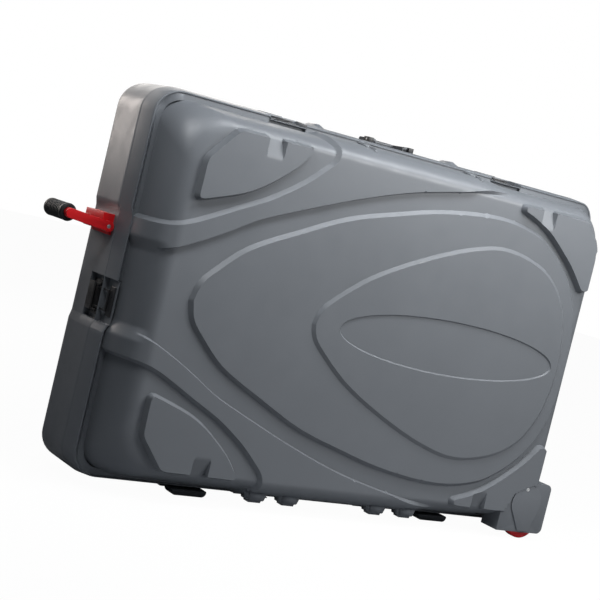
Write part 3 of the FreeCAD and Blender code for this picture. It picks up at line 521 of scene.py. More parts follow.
def settle_on_edges(places):
    # Shifts points on to the foot, middle or top of the nearest step, so edges run clean: freely on the flat
    # face, along the height on the end walls and on the first bend of the upper and lower walls, and along the
    # length on the rest of those.
    x, z = places[:, 0].copy(), places[:, 2].copy()
    height = np.abs(z)
    flat = places[:, 1] < face_depth + 0.0005
    between_ends = ~flat & (np.abs(x) < body_x[-1])
    half_face = body_half_height - side_sweep
    on_bend = between_ends & (height > half_face) & (height < half_face + side_sweep * 0.75)
    on_side = between_ends & ~on_bend
    upright = (~flat & (height < body_z[-1])) | on_bend
    best = np.full(len(x), 1.0)
    shift = np.zeros((len(x), 2))
    for name, (gap, near) in body_edges(x, z).items():
        reach = np.abs(gap)
        if name in ("oval", "band_lower"):
            close_rows = np.maximum(near[:, 1], height) > half_face + 0.0001
            close_rows &= height > half_face - 0.0001
            target, limit = np.where(gap > 0, steep_step, -steep_step), np.where(close_rows, 0.0024, 0.004)
        elif name == "pad":
            target, limit = np.where(gap > -pad_slope / 2, 0, -pad_slope), 0.003
            reach = np.abs(gap - target)
        else:
            target, limit = np.round(gap / step_half) * step_half, 0.006
        away = np.stack([x, height], 1) - near
        away = away / np.maximum(np.linalg.norm(away, axis=1), 1e-9)[:, None] * np.sign(gap)[:, None]
        step = away * (target - gap)[:, None]
        straight = (target - gap)[:, None] / np.where(np.abs(away) > 0.6, away, np.inf)
        step[upright, 0], step[upright, 1] = 0, straight[upright, 1]
        step[on_side, 0], step[on_side, 1] = straight[on_side, 0], 0
        step[:, 1] *= np.where(z < 0, -1, 1)
        pick = (flat | upright | on_side) & (reach < limit) & (reach < best) & (reach > 1e-6)
        shift[pick] = step[pick]
        best[pick] = reach[pick]
    moved = places.copy()
    moved[:, 0] += shift[:, 0]
    moved[:, 2] += shift[:, 1]
    climb = np.clip((np.abs(moved[on_bend, 2]) - half_face) / side_sweep, 0, 1)
    moved[on_bend, 1] = body_start + (face_depth - body_start) * np.sqrt(1 - climb ** 2)
    return moved


def body_relief(places, normals):
    x, y, z = places.T
    edges = body_edges(x, z)
    fade = ease(*band_fade, x)
    on_wall = ease(*wall_band_start, x)
    upper, lower = edges["band_upper"][0], edges["band_lower"][0]
    top_edge = ramp(-step_half, step_half, upper)
    by_upper = np.abs(upper) < 1
    band = np.where(by_upper, top_edge, ramp(-steep_step, steep_step, lower)) * band_rise * fade
    wall_band = wall_band_rise * ramp(0.074, 0.099, np.abs(z)) * np.where(by_upper, top_edge, 1)
    band += on_wall * (wall_band - band)
    outer = outer_rise * ramp(-step_half, step_half, edges["outer"][0])
    inner = inner_rise * ramp(-step_half, step_half, edges["inner"][0])
    oval = oval_sink * ramp(-steep_step, steep_step, edges["oval"][0])
    lift = np.maximum(band, outer) + inner - oval
    moved = places + normals * lift[:, None]
    pad = pad_share(x, z, pad_slope) * ease(-0.100, -0.118, y)
    moved[:, 1] -= (pad_depth + moved[:, 1]) * pad
    low_wall = ease(face_depth, body_start - 0.02, y) * ease(-0.300, -0.344, z)
    moved[:, 2] -= low_wall_sag * low_wall * ease(-0.500, -0.340, x) * ease(0.430, 0.360, x)
    return moved, lift + (face_depth + pad_depth) * pad


def cut_along_steps(faces, height):
    # Cuts each four-cornered face that lies across a step along the diagonal that keeps its height.
    out = []
    for face in faces:
        tall = [height[k] for k in face]
        if len(face) < 4 or max(tall) - min(tall) < 0.0002:
            out.append(face)
        elif abs(tall[0] - tall[2]) <= abs(tall[1] - tall[3]):
            out += [(face[0], face[1], face[2]), (face[0], face[2], face[3])]
        else:
            out += [(face[1], face[2], face[3]), (face[1], face[3], face[0])]
    return out


body_x = np.linspace(-0.431, 0.431, 217)
body_z = np.linspace(-0.249, 0.249, 160)
for middle in (-notch_place, notch_place):
    fit_lines(body_x, middle, notch_half, notch_foot)
places, faces, border = tray_skin(body_x, body_z, 36, body_profile(0))
body_places, body_height = body_relief(settle_on_edges(places), point_normals(places, faces))
body_outer = (body_places, cut_along_steps(faces, body_height), border)
body_inner = tray_skin(body_x[::3], body_z[::3], 12, body_profile(wall_thickness))
front_body = close_tray("front_shell_skin", body_outer, body_inner, -1)
dress(front_body, shell_plastic, "shell_plastic", "front_case", "front_shell")

# Front rim: the stiff flange moulded round the front shell's mouth, with a rounded lip, a groove between
# lip and body, and cut-outs where the latches lie.
rim_section = [(-0.005, 0), (-0.0014, 0), (0, -0.0014), (-0.0054, -0.0462), (-0.0060, -0.0478), (-0.0070, -0.0488),
               (-0.0084, -0.0488), (-0.0094, -0.0478), (-0.0098, -0.0465), (-0.0100, -0.0408), (-0.024, -0.0403),
               (-0.024, -0.0350), (-0.010, -0.0350)]
seat_section = [(-0.016, 0), (-0.0126, 0), (-0.012, -0.0006), (-0.012, -0.0462), (-0.0121, -0.0478), (-0.0124, -0.0485),
                (-0.0130, -0.0488), (-0.0136, -0.0478), (-0.0140, -0.0465), (-0.0142, -0.0395), (-0.024, -0.0390),
                (-0.024, -0.0350), (-0.016, -0.0350)]
groove_floor = (-0.0408, -0.0403)
shallow_groove = -0.0468
low_lip = -0.0352
lip_inner = -0.0099


def rim_stations():
    # Round the rim: place on the corner-centre rectangle, outward direction, and whether a latch seat is there.
    half_x, half_z = rim_half_length - rim_corner, rim_half_height - rim_corner
    seat_edges = [side * (seat_half_width + wall) for side in (-1, 1) for wall in (0, seat_wall)]
    lip_edges = [side * reach for side in (-1, 1) for reach in (0.050, 0.060, 0.070, 0.080, 0.090)]
    edges_x = sorted({-half_x, half_x, *(side * (top_seat_place + w) for side in (-1, 1) for w in seat_edges)})
    edges_z = sorted({-half_z, half_z, *(end_seat_height + w for w in seat_edges + lip_edges),
                      low_block_top, low_block_top - block_slope, high_block_bottom, high_block_bottom + block_slope})
    stations = []
    for x, z, dx, dz in round_rim(edges_x, edges_z, 12):
        off_seat = {0: z - end_seat_height, 1: abs(x) - top_seat_place}.get(dz, 1)
        stations.append((x, z, dx, dz, abs(off_seat) < seat_half_width + seat_wall / 2))
    return stations


def rim_ring():
    places, faces = [], []
    stations = rim_stations()
    for x, z, dx, dz, seat in stations:
        for (plain, depth), (sunk, seat_depth) in zip(rim_section, seat_section):
            reach = rim_corner + (sunk if seat else plain)
            px, pz = x + dx * reach, z + dz * reach
            if plain > lip_inner and not seat:
                px -= block_rise * float(end_block(pz)) * max(-dx, 0)
            if depth in groove_floor:
                depth += (shallow_groove - depth) * float(ease(0.35, 1, abs(dz)))
            if depth < low_lip and not seat:
                depth += (low_lip - depth) * max(dx, 0) * float(ease(0.050, 0.090, abs(pz - end_seat_height)))
            places.append((px, seat_depth if seat else depth, pz))
    count = len(rim_section)
    rings = [range(k * count, (k + 1) * count) for k in range(len(stations))]
    for ring, following in zip(rings, rings[1:] + rings[:1]):
        faces += ring_faces(ring, following)
    sheet = sheet_from(places, faces)
    bmesh.ops.translate(sheet, verts=sheet.verts, vec=rim_middle)
    return finish_outward("front_rim_flange", sheet, 35)


dress(rim_ring(), shell_plastic, "shell_plastic", "front_case", "front_shell")

# Hinges: two pressed steel butt hinges along the lower edge, their leaves let into the rims and held by
# domed rivets, with a plain steel pin through the knuckles.
def welded(node):
    # A CAD piece's mesh with its doubled points joined.
    sheet = bmesh.new()
    sheet.from_mesh(frame["nodes"][node].data)
    bmesh.ops.remove_doubles(sheet, verts=sheet.verts, dist=1e-6)
    return sheet


def settle(made):
    # Swaps an object's modifiers for the plain mesh that they give.
    plain = bpy.data.meshes.new_from_object(made.evaluated_get(bpy.context.evaluated_depsgraph_get()))
    made.modifiers.clear()
    made.data = plain
    return plain


def softened(node, width, material, slot):
    # A copy of the CAD piece with its edges rounded, as the mould or the tumbler leaves them.
    sheet = welded(node)
    bmesh.ops.dissolve_limit(sheet, angle_limit=math.radians(1), verts=sheet.verts, edges=sheet.edges)
    made = finish_mesh(node + "_finished", sheet)
    rounding = made.modifiers.new("rounding", "BEVEL")
    rounding.width = width
    rounding.segments = 3
    rounding.limit_method = "ANGLE"
    rounding.angle_limit = math.radians(32)
    plain = settle(made)
    plain.shade_smooth()
    plain.set_sharp_from_angle(angle=math.radians(38))
    return dress(made, material, slot, frame["nodes"][node]["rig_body"], node)


def lathe(name, middle, axis, profile, turns):
    # A turned piece: (along, radius) steps swept round an axis. A radius of 0 closes an end, or the last step
    # meets the first.
    axis = Vector(axis).normalized()
    side = axis.orthogonal().normalized()
    other = axis.cross(side)
    sheet = bmesh.new()
    rings = []
    for along, radius in profile:
        angles = [2 * math.pi * k / turns for k in range(turns)] if radius else [0]
        rings.append([sheet.verts.new(middle + axis * along + (side * math.cos(a) + other * math.sin(a)) * radius)
                      for a in angles])
    for low, high in zip(rings, rings[1:]):
        for corners in ring_faces(low, high):
            sheet.faces.new(corners)
    bmesh.ops.remove_doubles(sheet, verts=sheet.verts, dist=1e-7)
    return finish_outward(name, sheet, 40)


def copies_tree():
    # Geometry nodes: one piece repeated at each point of the mesh that it is put on.
    tree = bpy.data.node_groups.new("copies_at_points", "GeometryNodeTree")
    for name, side, kind in (("Geometry", "INPUT", "Geometry"), ("Piece", "INPUT", "Object"),
                             ("Finish", "INPUT", "Material"), ("Geometry", "OUTPUT", "Geometry")):
        tree.interface.new_socket(name, in_out=side, socket_type="NodeSocket" + kind)
    given, result, source, put, real, paint = [tree.nodes.new(kind) for kind in (
        "NodeGroupInput", "NodeGroupOutput", "GeometryNodeObjectInfo", "GeometryNodeInstanceOnPoints",
        "GeometryNodeRealizeInstances", "GeometryNodeSetMaterial")]
    for start, out, end, into in (
            (given, "Piece", source, "Object"), (given, "Geometry", put, "Points"),
            (source, "Geometry", put, "Instance"), (put, "Instances", real, "Geometry"),
            (real, "Geometry", paint, "Geometry"), (given, "Finish", paint, "Material"),
            (paint, "Geometry", result, "Geometry")):
        tree.links.new(start.outputs[out], end.inputs[into])
    return tree


repeat_tree = copies_tree()


def copies(name, piece, points, material, slot, body, *nodes):
    mesh = bpy.data.meshes.new(name)
    mesh.from_pydata([tuple(point) for point in points], [], [])
    made = add_object(name, mesh)
    repeat = made.modifiers.new("repeat", "NODES")
    repeat.node_group = repeat_tree
    given = {"Piece": piece, "Finish": material}
    for item in repeat_tree.interface.items_tree:
        if item.in_out == "INPUT" and item.name in given:
            repeat[item.identifier] = given[item.name]
    settle(made)
    bpy.data.objects.remove(piece)
    return dress(made, material, slot, body, *nodes)


def bare_metal(name, colour, roughness, scratch):
    # Rolled or drawn steel with fine drawn lines along X and a little uneven shine.
    made, tree, shader, place = new_material(name)
    stretch = add_node(tree, "Mapping", {"Scale": (60, 900, 900), "Vector": place})
    lines = add_node(tree, "TexNoise", {"Scale": 2, "Detail": 3, "Vector": stretch.outputs["Vector"]}).outputs["Fac"]
    shine = add_node(tree, "MapRange", {"To Min": roughness - 0.08, "To Max": roughness + 0.1, "Value": lines})
    set_inputs(tree, shader, {
        "Metallic": 1, "Roughness": shine.outputs["Result"],
        "Base Color": tones(tree, lines, colour, 0.85, 1.1), "Normal": relief(tree, lines, scratch, 0.0001)})
    return made


steel = bare_metal("zinc_plated_steel", (0.72, 0.73, 0.74), 0.46, 0.2)
for side in ("left", "right"):
    for piece in ("rear_leaf", "front_leaf", "pin"):
        softened(f"{side}_hinge_{piece}", 0.0004, steel, "steel")


def solid_boxes(node):
    # The box of each solid of a node, from the loose parts of its mesh, in order of place.
    sheet = welded(node)
    left, boxes = set(sheet.verts), []
    while left:
        group, queue = [], [left.pop()]
        while queue:
            vert = queue.pop()
            group.append(vert.co.copy())
            for edge in vert.link_edges:
                other = edge.other_vert(vert)
                if other in left:
                    left.remove(other)
                    queue.append(other)
        spots = np.array(group)
        boxes.append((Vector(spots.min(0)), Vector(spots.max(0))))
    sheet.free()
    return sorted(boxes, key=lambda box: tuple(box[0]))


for half, body in (("rear", "rear_case"), ("front", "front_case")):
    boxes = solid_boxes(f"{half}_hinge_rivets")
    radius = (boxes[0][1].x - boxes[0][0].x) / 2
    tall = boxes[0][1].z - boxes[0][0].z
    rivet = lathe("rivet", Vector(), (0, 0, 1), [
        (0, 0), (0, radius), (tall * 0.35, radius), (tall * 0.62, radius * 0.86), (tall * 0.86, radius * 0.55),
        (tall, 0)], 20)
    rivet.data.transform(Matrix.Rotation(math.pi, 4, "X"))
    spots = [((low.x + high.x) / 2, (low.y + high.y) / 2, high.z) for low, high in boxes]
    copies(f"{half}_rivet_heads", rivet, spots, steel, "steel", body, f"{half}_hinge_rivets")

# Rest ribs: two pairs of rounded lumps moulded under the front shell's lower wall, where the case is set
# down on its side; part of the same moulding.
def rest_rib(width, height, depth):
    sheet = bmesh.new()
    for x, z in ((-0.5, 0.5), (0.5, 0.5), (0.36, -0.5), (-0.36, -0.5)):
        for y in (-0.5, 0.5):
            sheet.verts.new((x * width, y * depth * (1 if z > 0 else 0.8), z * height))
    bmesh.ops.convex_hull(sheet, input=sheet.verts)
    bmesh.ops.dissolve_limit(sheet, angle_limit=math.radians(1), verts=sheet.verts, edges=sheet.edges)
    bmesh.ops.bevel(sheet, geom=sheet.edges, offset=0.006, segments=4, affect="EDGES", clamp_overlap=True)
    return finish_mesh("rest_rib", sheet)


rib_places = [rim_middle + Vector((x, -0.095, -0.382)) for x in (-0.200, -0.116, 0.116, 0.200)]
copies("front_rest_ribs", rest_rib(0.058, 0.034, 0.040), rib_places, shell_plastic, "shell_plastic", "front_case",
       "front_shell")

# Upper ribs: two small V-shaped ribs moulded on the front shell's upper wall; part of the same moulding.
def wall_rib(start, end):
    # One low ridge between two places, its ends run out into the wall.
    along = (end - start).normalized()
    side = along.cross(Vector((0, -0.26, 0.966))).normalized()
    rise = side.cross(along)
    sheet = bmesh.new()
    for place, width, tall in ((start, 0.0030, -0.002), (end, 0.0030, -0.002), (start + along * 0.008, 0.0012, 0.0052),
                               (end - along * 0.005, 0.0012, 0.0052)):
        for turn in (-1, 1):
            sheet.verts.new(place + side * width * turn + rise * tall)
    bmesh.ops.convex_hull(sheet, input=sheet.verts)
    bmesh.ops.bevel(sheet, geom=sheet.edges, offset=0.0006, segments=2, affect="EDGES", clamp_overlap=True)
    return finish_mesh("wall_rib", sheet)


upper_places = [rim_middle + Vector((x, -0.090, 0.3815)) for x in (-0.122, 0.172)]
for name, start, end in (("straight", (0.010, 0.030, 0.0066), (0.010, -0.022, -0.0064)),
                         ("slanted", (-0.014, 0.028, 0.0062), (0.002, -0.004, -0.0004))):
    copies(f"front_upper_ribs_{name}", wall_rib(Vector(start), Vector(end)), upper_places, shell_plastic,
           "shell_plastic", "front_case", "front_shell")

# Latches: four over-centre latches, each a moulded base with a ridged lever, a black-coated wire bail and
# a hooked keeper riveted to the front rim.
black_plastic = moulded_plastic("black_plastic", (0.014, 0.0145, 0.016, 1), 0.42, 0.0012)
lever_plastic = moulded_plastic("latch_plastic", (0.045, 0.044, 0.043, 1), 0.36, 0.0012)
coated_steel = moulded_plastic("black_coated_steel", (0.03, 0.03, 0.032, 1), 0.30, 0.0016)
for latch in ("left", "right", "top_left", "top_right"):
    softened(f"{latch}_latch_base", 0.0006, black_plastic, "black_plastic")
    softened(f"{latch}_latch_lever", 0.0010, lever_plastic, "latch_plastic")
    softened(f"{latch}_latch_bail", 0.0010, coated_steel, "steel")
    softened(f"{latch}_latch_keeper", 0.0006, coated_steel, "steel")
    low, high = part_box(f"{latch}_latch_lever")
    along_z = latch in ("left", "right")
    bar = lathe("ridge", Vector(), (0, 0, 1) if along_z else (1, 0, 0), [
        (-0.022, 0), (-0.022, 0.0004), (-0.0214, 0.0009), (0.0214, 0.0009), (0.022, 0.0004), (0.022, 0)], 10)
    middle = (low + high) / 2
    sunk = 0.0005
    face = {"left": low.x + sunk, "right": high.x - sunk}.get(latch, high.z - sunk)
    depths = [high.y - 0.004 - 0.0036 * k for k in range(5)]
    spots = [(face, y, middle.z) if along_z else (middle.x, y, face) for y in depths]
    copies(f"{latch}_lever_ridges", bar, spots, lever_plastic, "latch_plastic", f"{latch}_lever")

# Feet: four moulded rubber blocks under the lower walls, screwed on from inside.
foot_rubber = moulded_plastic("foot_rubber", (0.120, 0.125, 0.133, 1), 0.62, 0.0018)
for half in ("rear", "front"):
    softened(f"{half}_feet", 0.004, foot_rubber, "foot_rubber")

# Wheel sets: a grey housing in each shell's lower corner with a teardrop cover and a slotted screw; a red
# rubber tyre on a black hub turns on a steel axle inside.
def grooved_sleeve(name, middle, end, grooves, turns):
    # A sleeve turned about Y: the steps of one end, the grooves, that end mirrored, and back to the start.
    mirrored = [(-along, radius) for along, radius in reversed(end)]
    return lathe(name, middle, (0, 1, 0), end + grooves + mirrored + end[:1], turns)


tyre_red = moulded_plastic("red_tyre_rubber", (0.86, 0.018, 0.026, 1), 0.55, 0.0016)
for half in ("rear", "front"):
    softened(f"{half}_wheel_housing", 0.0030, shell_plastic, "shell_plastic")
    softened(f"{half}_wheel_cover", 0.0010, shell_plastic, "shell_plastic")
    softened(f"{half}_wheel_hub", 0.0012, black_plastic, "black_plastic")
    softened(f"{half}_wheel_axle", 0.0004, steel, "steel")
    low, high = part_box(f"{half}_wheel_tyre")
    middle = (low + high) / 2
    shape = frame["nodes"][f"{half}_wheel_tyre"].data
    points = np.zeros(len(shape.vertices) * 3)
    shape.vertices.foreach_get("co", points)
    points = points.reshape(-1, 3) - np.array(middle)
    bore = np.hypot(points[:, 0], points[:, 2]).min()
    outer = (high.z - low.z) / 2
    width = (high.y - low.y) / 2
    end = [(-width * 0.94, bore), (-width, bore + 0.0008), (-width, outer - 0.006), (-width * 0.93, outer - 0.0025),
           (-width * 0.78, outer - 0.0005)]
    grooves = [(width * (groove + shift), outer - sink) for groove in (-0.45, 0.0, 0.45)
               for shift, sink in ((-0.13, 0), (-0.08, 0.0014), (0.08, 0.0014), (0.13, 0))]
    tyre = grooved_sleeve(f"{half}_tyre_tread", middle, end, grooves, 72)
    dress(tyre, tyre_red, "red_tyre", f"{half}_wheel", f"{half}_wheel_tyre")


def slotted_head(name, middle, facing, radius, thick, slot_half):
    # A screw head with a straight driver slot: a thin disc with two segments standing on it.
    sheet = bmesh.new()
    facing = Vector(facing).normalized()
    side = facing.orthogonal().normalized()
    other = facing.cross(side)

    def block(outline, low, high):
        bottom = [sheet.verts.new(middle + side * a + other * b + facing * low) for a, b in outline]
        top = [sheet.verts.new(middle + side * a * 0.94 + other * b * 0.94 + facing * high) for a, b in outline]
        for corners in (bottom[::-1], top, *ring_faces(bottom, top)):
            sheet.faces.new(corners)

    def arc(start, end, count, **ends):
        return [(radius * math.cos(a), radius * math.sin(a)) for a in np.linspace(start, end, count, **ends)]

    block(arc(0, 2 * math.pi, 32, endpoint=False), 0, thick * 0.35)
    start = math.asin(slot_half / radius)
    for turn in (0, math.pi):
        block(arc(turn + start, turn + math.pi - start, 17), thick * 0.3, thick)
    return finish_outward(name, sheet, 30)


# The cover screws use a paler, rougher copy of the zinc-plated steel. Its colour is painted brighter so that the small
# heads show a painted highlight.
painted_highlight_steel = bare_metal("screw_steel_with_painted_highlight", (0.95, 0.95, 0.93), 0.62, 0.1)
for half, facing in (("rear", 1), ("front", -1)):
    low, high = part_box(f"{half}_housing_screw")
    start = Vector(((low.x + high.x) / 2, low.y if facing > 0 else high.y, (low.z + high.z) / 2))
    head = slotted_head(f"{half}_cover_screw", start, (0, facing, 0), (high.x - low.x) / 2, high.y - low.y, 0.0008)
    dress(head, painted_highlight_steel, "steel", f"{half}_case", f"{half}_housing_screw")

# Pull handle: a red moulded base screwed to the end wall, a red two-armed yoke that swings on a steel pin,
# and a ribbed black rubber grip pushed over the yoke's bar.
red_plastic = moulded_plastic("red_plastic", (0.70, 0.012, 0.016, 1), 0.34, 0.0014)
grip_rubber = moulded_plastic("grip_rubber", (0.012, 0.012, 0.013, 1), 0.60, 0.0010)
softened("pull_handle_base", 0.0014, red_plastic, "red_plastic")
softened("pull_handle_yoke", 0.0028, red_plastic, "red_plastic")
softened("pull_handle_pin", 0.0006, steel, "steel")
grip_low, grip_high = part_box("pull_handle_grip")
grip_middle = (grip_low + grip_high) / 2
grip_radius = (grip_high.z - grip_low.z) / 2
grip_half = (grip_high.y - grip_low.y) / 2
grip_bore = 0.0084
grip_end = [(-grip_half + 0.002, grip_bore), (-grip_half, grip_bore + 0.002), (-grip_half, grip_radius - 0.003),
            (-grip_half + 0.003, grip_radius)]
grip_grooves = [((k - 4) * (grip_half - 0.010) / 4.5 + shift, grip_radius - sink) for k in range(9)
                for shift, sink in ((-0.0030, 0.0004), (-0.0022, 0.0016), (0.0022, 0.0016), (0.0030, 0.0004))]
grip = grooved_sleeve("pull_handle_sleeve", grip_middle, grip_end, grip_grooves, 40)
dress(grip, grip_rubber, "grip_rubber", "pull_handle", "pull_handle_grip")
boxes = solid_boxes("pull_handle_screws")
size = boxes[0][1] - boxes[0][0]
head = slotted_head("handle_screw", Vector(), (-1, 0, 0), size.z / 2, size.x, 0.0007)
spots = [(high.x, (low.y + high.y) / 2, (low.z + high.z) / 2) for low, high in boxes]
copies("handle_screw_heads", head, spots, steel, "steel", "rear_case", "pull_handle_screws")

# Carry handle: a black bar that lies along the top edge between two screwed-on mounts and swings up on pins.
softened("carry_handle_mounts", 0.0012, black_plastic, "black_plastic")
handle_plastic = moulded_plastic("dark_grey_plastic", (0.075, 0.078, 0.084, 1), 0.44, 0.0012)
softened("carry_handle_bar", 0.0010, handle_plastic, "black_plastic")
softened("carry_handle_pins", 0.0004, steel, "steel")

# Foam: a charcoal sheet of convoluted foam glued in each shell, its egg-box side towards the bicycle.
def foam_material(name, colour):
    # Open-cell foam: fine pores, slightly lighter where the cells catch the light.
    made, tree, shader, place = new_material(name)
    cells = add_node(tree, "TexVoronoi", {"Scale": 700, "Vector": place}).outputs["Distance"]
    set_inputs(tree, shader, {
        "Roughness": 0.95, "Specular IOR Level": 0.15,
        "Base Color": tones(tree, cells, colour, 0.6, 1.5), "Normal": relief(tree, cells, 0.6, 0.0006)})
    return made


def egg_box_foam(name, node, inward):
    # A closed slab, flat behind; the face swells and dips in a chequer, and dies away at the cut edges.
    low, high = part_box(node)
    pitch, dip = 0.052, 0.0085
    x = np.linspace(low.x, high.x, 141)
    z = np.linspace(low.z, high.z, 85)
    gx, gz = np.meshgrid(x, z, indexing="ij")
    inset = np.minimum(np.minimum(gx - low.x, high.x - gx), np.minimum(gz - low.z, high.z - gz))
    wave = 0.5 - 0.5 * np.cos(2 * np.pi * (gx - low.x) / pitch) * np.cos(2 * np.pi * (gz - low.z) / pitch)
    face = low.y if inward < 0 else high.y
    back = high.y if inward < 0 else low.y
    soft_edge = 0.004 * (1 - ease(0, 0.006, inset))
    depth = face - inward * (dip * wave * ease(0.004, 0.022, inset) + soft_edge)
    count = gx.size
    places = np.concatenate([points_at(gx, depth, gz), points_at(gx, back, gz)])
    faces = []
    for quad in grid_faces(*gx.shape):
        faces += [quad, tuple(k + count for k in reversed(quad))]
    index = np.arange(count).reshape(gx.shape)
    rim = np.concatenate([index[:-1, 0], index[-1, :-1], index[:0:-1, -1], index[0, :0:-1]]).tolist()
    for a, b in zip(rim, rim[1:] + rim[:1]):
        faces.append((a, a + count, b + count, b))
    return finish_outward(name, sheet_from(places.tolist(), faces), 60)


foam_look = foam_material("charcoal_foam", (0.028, 0.028, 0.030))
for half, inward in (("rear", -1), ("front", 1)):
    foam = egg_box_foam(f"{half}_foam_sheet", f"{half}_foam", inward)
    dress(foam, foam_look, "foam", f"{half}_case", f"{half}_foam")

# Straps: two lengths of black polyester webbing across the rear shell's foam, sewn back at their ends and
# joined in the middle by side-release buckles.
def webbing_material(name, colour):
    # Plain weave: ribs across the tape's width crossed by the finer lengthwise yarns.
    made, tree, shader, place = new_material(name)
    ribs = add_node(tree, "TexWave", {"Scale": 180, "Vector": place})
    ribs.bands_direction = "Z"
    yarns = add_node(tree, "TexWave", {"Scale": 120, "Vector": place})
    yarns.bands_direction = "X"
    weave = add_node(tree, "Math", {0: ribs.outputs["Fac"], 1: yarns.outputs["Fac"]})
    weave.operation = "MULTIPLY"
    weave = weave.outputs["Value"]
    set_inputs(tree, shader, {
        "Roughness": 0.7,
        "Base Color": tones(tree, weave, colour, 0.5, 1.6), "Normal": relief(tree, weave, 0.7, 0.0004)})
    return made


def tape(name, low, high):
    # A flat tape along the height with rolled selvedges, lying a hair unevenly as webbing does.
    half, middle = (high.x - low.x) / 2, (high.x + low.x) / 2
    thick = (high.y - low.y) / 2
    across = [(-1, 0), (-0.985, 0.7), (-0.94, 0.92), (-0.5, 0.86), (0, 0.84), (0.5, 0.86), (0.94, 0.92), (0.985, 0.7),
              (1, 0), (0.985, -0.7), (0.94, -0.92), (0, -0.9), (-0.94, -0.92), (-0.985, -0.7)]
    sheet = bmesh.new()
    rings = []
    steps = 90
    level = (low.y + high.y) / 2
    for k in range(steps + 1):
        z = low.z + (high.z - low.z) * k / steps
        sway = 0.0006 * math.sin(9 * k / steps) * math.sin(math.pi * k / steps)
        rings.append([sheet.verts.new((middle + sway + u * (half - 0.0007), level + v * thick, z)) for u, v in across])
    faces = [corners for a, b in zip(rings, rings[1:]) for corners in ring_faces(a, b)]
    for corners in (*faces, rings[0][::-1], rings[-1]):
        sheet.faces.new(corners)
    return finish_outward(name, sheet, 50)


def solid_plate(sheet, outline, low, high, rounding):
    # Stands an outline, (across, along), up as a plate between two depths and rounds its rims.
    bottom = [sheet.verts.new((a, low, b)) for a, b in outline]
    top = [sheet.verts.new((a, high, b)) for a, b in outline]
    faces = [sheet.faces.new(corners) for corners in (bottom, top[::-1], *ring_faces(top, bottom))]
    rims = [edge for face in faces[:2] for edge in face.edges]
    bmesh.ops.bevel(sheet, geom=rims, offset=rounding, segments=2, affect="EDGES", clamp_overlap=True)


def side_release_buckle(name, low, high):
    # The socket half with its side windows, the plug half with its two prongs, and a ladder bar at each end.
    sheet = bmesh.new()
    half, tall = (high.x - low.x) / 2, (high.z - low.z) / 2
    middle = (high + low) / 2

    def plate(outline, inset, rounding, side=1):
        outline = [(side * a * half, b * tall) for a, b in outline]
        solid_plate(sheet, outline, low.y + inset, high.y - inset, rounding)

    plate([(-1, 0.02), (-0.98, 0.18), (-0.72, 0.22), (-0.70, 0.52), (-0.92, 0.58), (-0.96, 0.72), (-0.90, 0.80),
           (0.90, 0.80), (0.96, 0.72), (0.92, 0.58), (0.70, 0.52), (0.72, 0.22), (0.98, 0.18), (1, 0.02),
           (0.94, -0.04), (-0.94, -0.04)], 0, 0.0012)
    plate([(-0.96, -0.10), (0.96, -0.10), (1, -0.18), (0.96, -0.46), (-0.96, -0.46), (-1, -0.18)], 0.0006, 0.0012)
    for side in (-1, 1):
        plate([(0.60, -0.12), (0.86, -0.12), (0.96, 0.24), (0.97, 0.48), (0.80, 0.56), (0.66, 0.48)],
              0.0026, 0.0008, side)
        plate([(0.84, -0.44), (0.98, -0.44), (0.98, -1.0), (0.84, -1.0)], 0.002, 0.0008, side)
        plate([(0.84, 0.78), (0.96, 0.78), (0.96, 1.0), (0.84, 1.0)], 0.002, 0.0008, side)
    for along in (-0.72, -0.95, 0.95):
        near, far = along - 0.045, along + 0.045
        plate([(-0.90, near), (0.90, near), (0.90, far), (-0.90, far)], 0.003, 0.0007)
    bmesh.ops.translate(sheet, verts=sheet.verts, vec=(middle.x, 0, middle.z))
    return finish_outward(name, sheet, 35)


webbing = webbing_material("black_webbing", (0.020, 0.020, 0.022))
for side in ("left", "right"):
    strap_low, strap_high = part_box(f"{side}_strap")
    strap = tape(f"{side}_strap_tape", strap_low, strap_high)
    dress(strap, webbing, "webbing", "rear_case", f"{side}_strap")
    stitch = lathe("stitch", Vector(), (0, 0, 1), [
        (-0.0016, 0), (-0.0012, 0.00035), (0.0012, 0.00035), (0.0016, 0)], 6)
    strap_middle = (strap_low.x + strap_high.x) / 2
    spots = []
    for end, inward in ((strap_low.z, 1), (strap_high.z, -1)):
        for column in (-0.013, 0.013):
            spots += [(strap_middle + column, strap_low.y + 0.0002, end + inward * (0.006 + 0.0042 * k))
                      for k in range(9)]
    thread = copies(f"{side}_strap_stitches", stitch, spots, webbing, "webbing", "rear_case")
    buckle_low, buckle_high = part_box(f"{side}_strap_buckle")
    buckle = side_release_buckle(f"{side}_buckle_halves", buckle_low, buckle_high)
    dress(buckle, black_plastic, "black_plastic", "rear_case", f"{side}_strap_buckle")

# Floor and backdrop: a plain pale sweep that stays white to the camera and keeps the case's soft shadow.
floor_mesh = bpy.data.meshes.new("floor")
floor_mesh.from_pydata([(-9, -9, 0), (9, -9, 0), (9, 9, 0), (-9, 9, 0)], [], [(0, 1, 2, 3)])
floor = add_object("floor", floor_mesh)
floor_paint, floor_tree, floor_shader, _ = new_material("pale_floor")
seen = add_node(floor_tree, "LightPath", {}).outputs["Is Camera Ray"]
floor_colour = mixed_colour(floor_tree, seen, (0.30, 0.31, 0.33, 1), (0.95, 0.95, 0.95, 1))
set_inputs(floor_tree, floor_shader, {"Roughness": 0.9, "Base Color": floor_colour})
glow = add_node(floor_tree, "Emission", {"Color": (1, 1, 1, 1)})
share = add_node(floor_tree, "Math", {0: seen, 1: 0.97})
share.operation = "MULTIPLY"
floor_mix = add_node(floor_tree, "MixShader", {
    "Fac": share.outputs["Value"], 1: floor_shader.outputs["BSDF"], 2: glow.outputs["Emission"]})
set_inputs(floor_tree, floor_tree.nodes["Material Output"], {"Surface": floor_mix.outputs["Shader"]})
floor_mesh.materials.append(floor_paint)

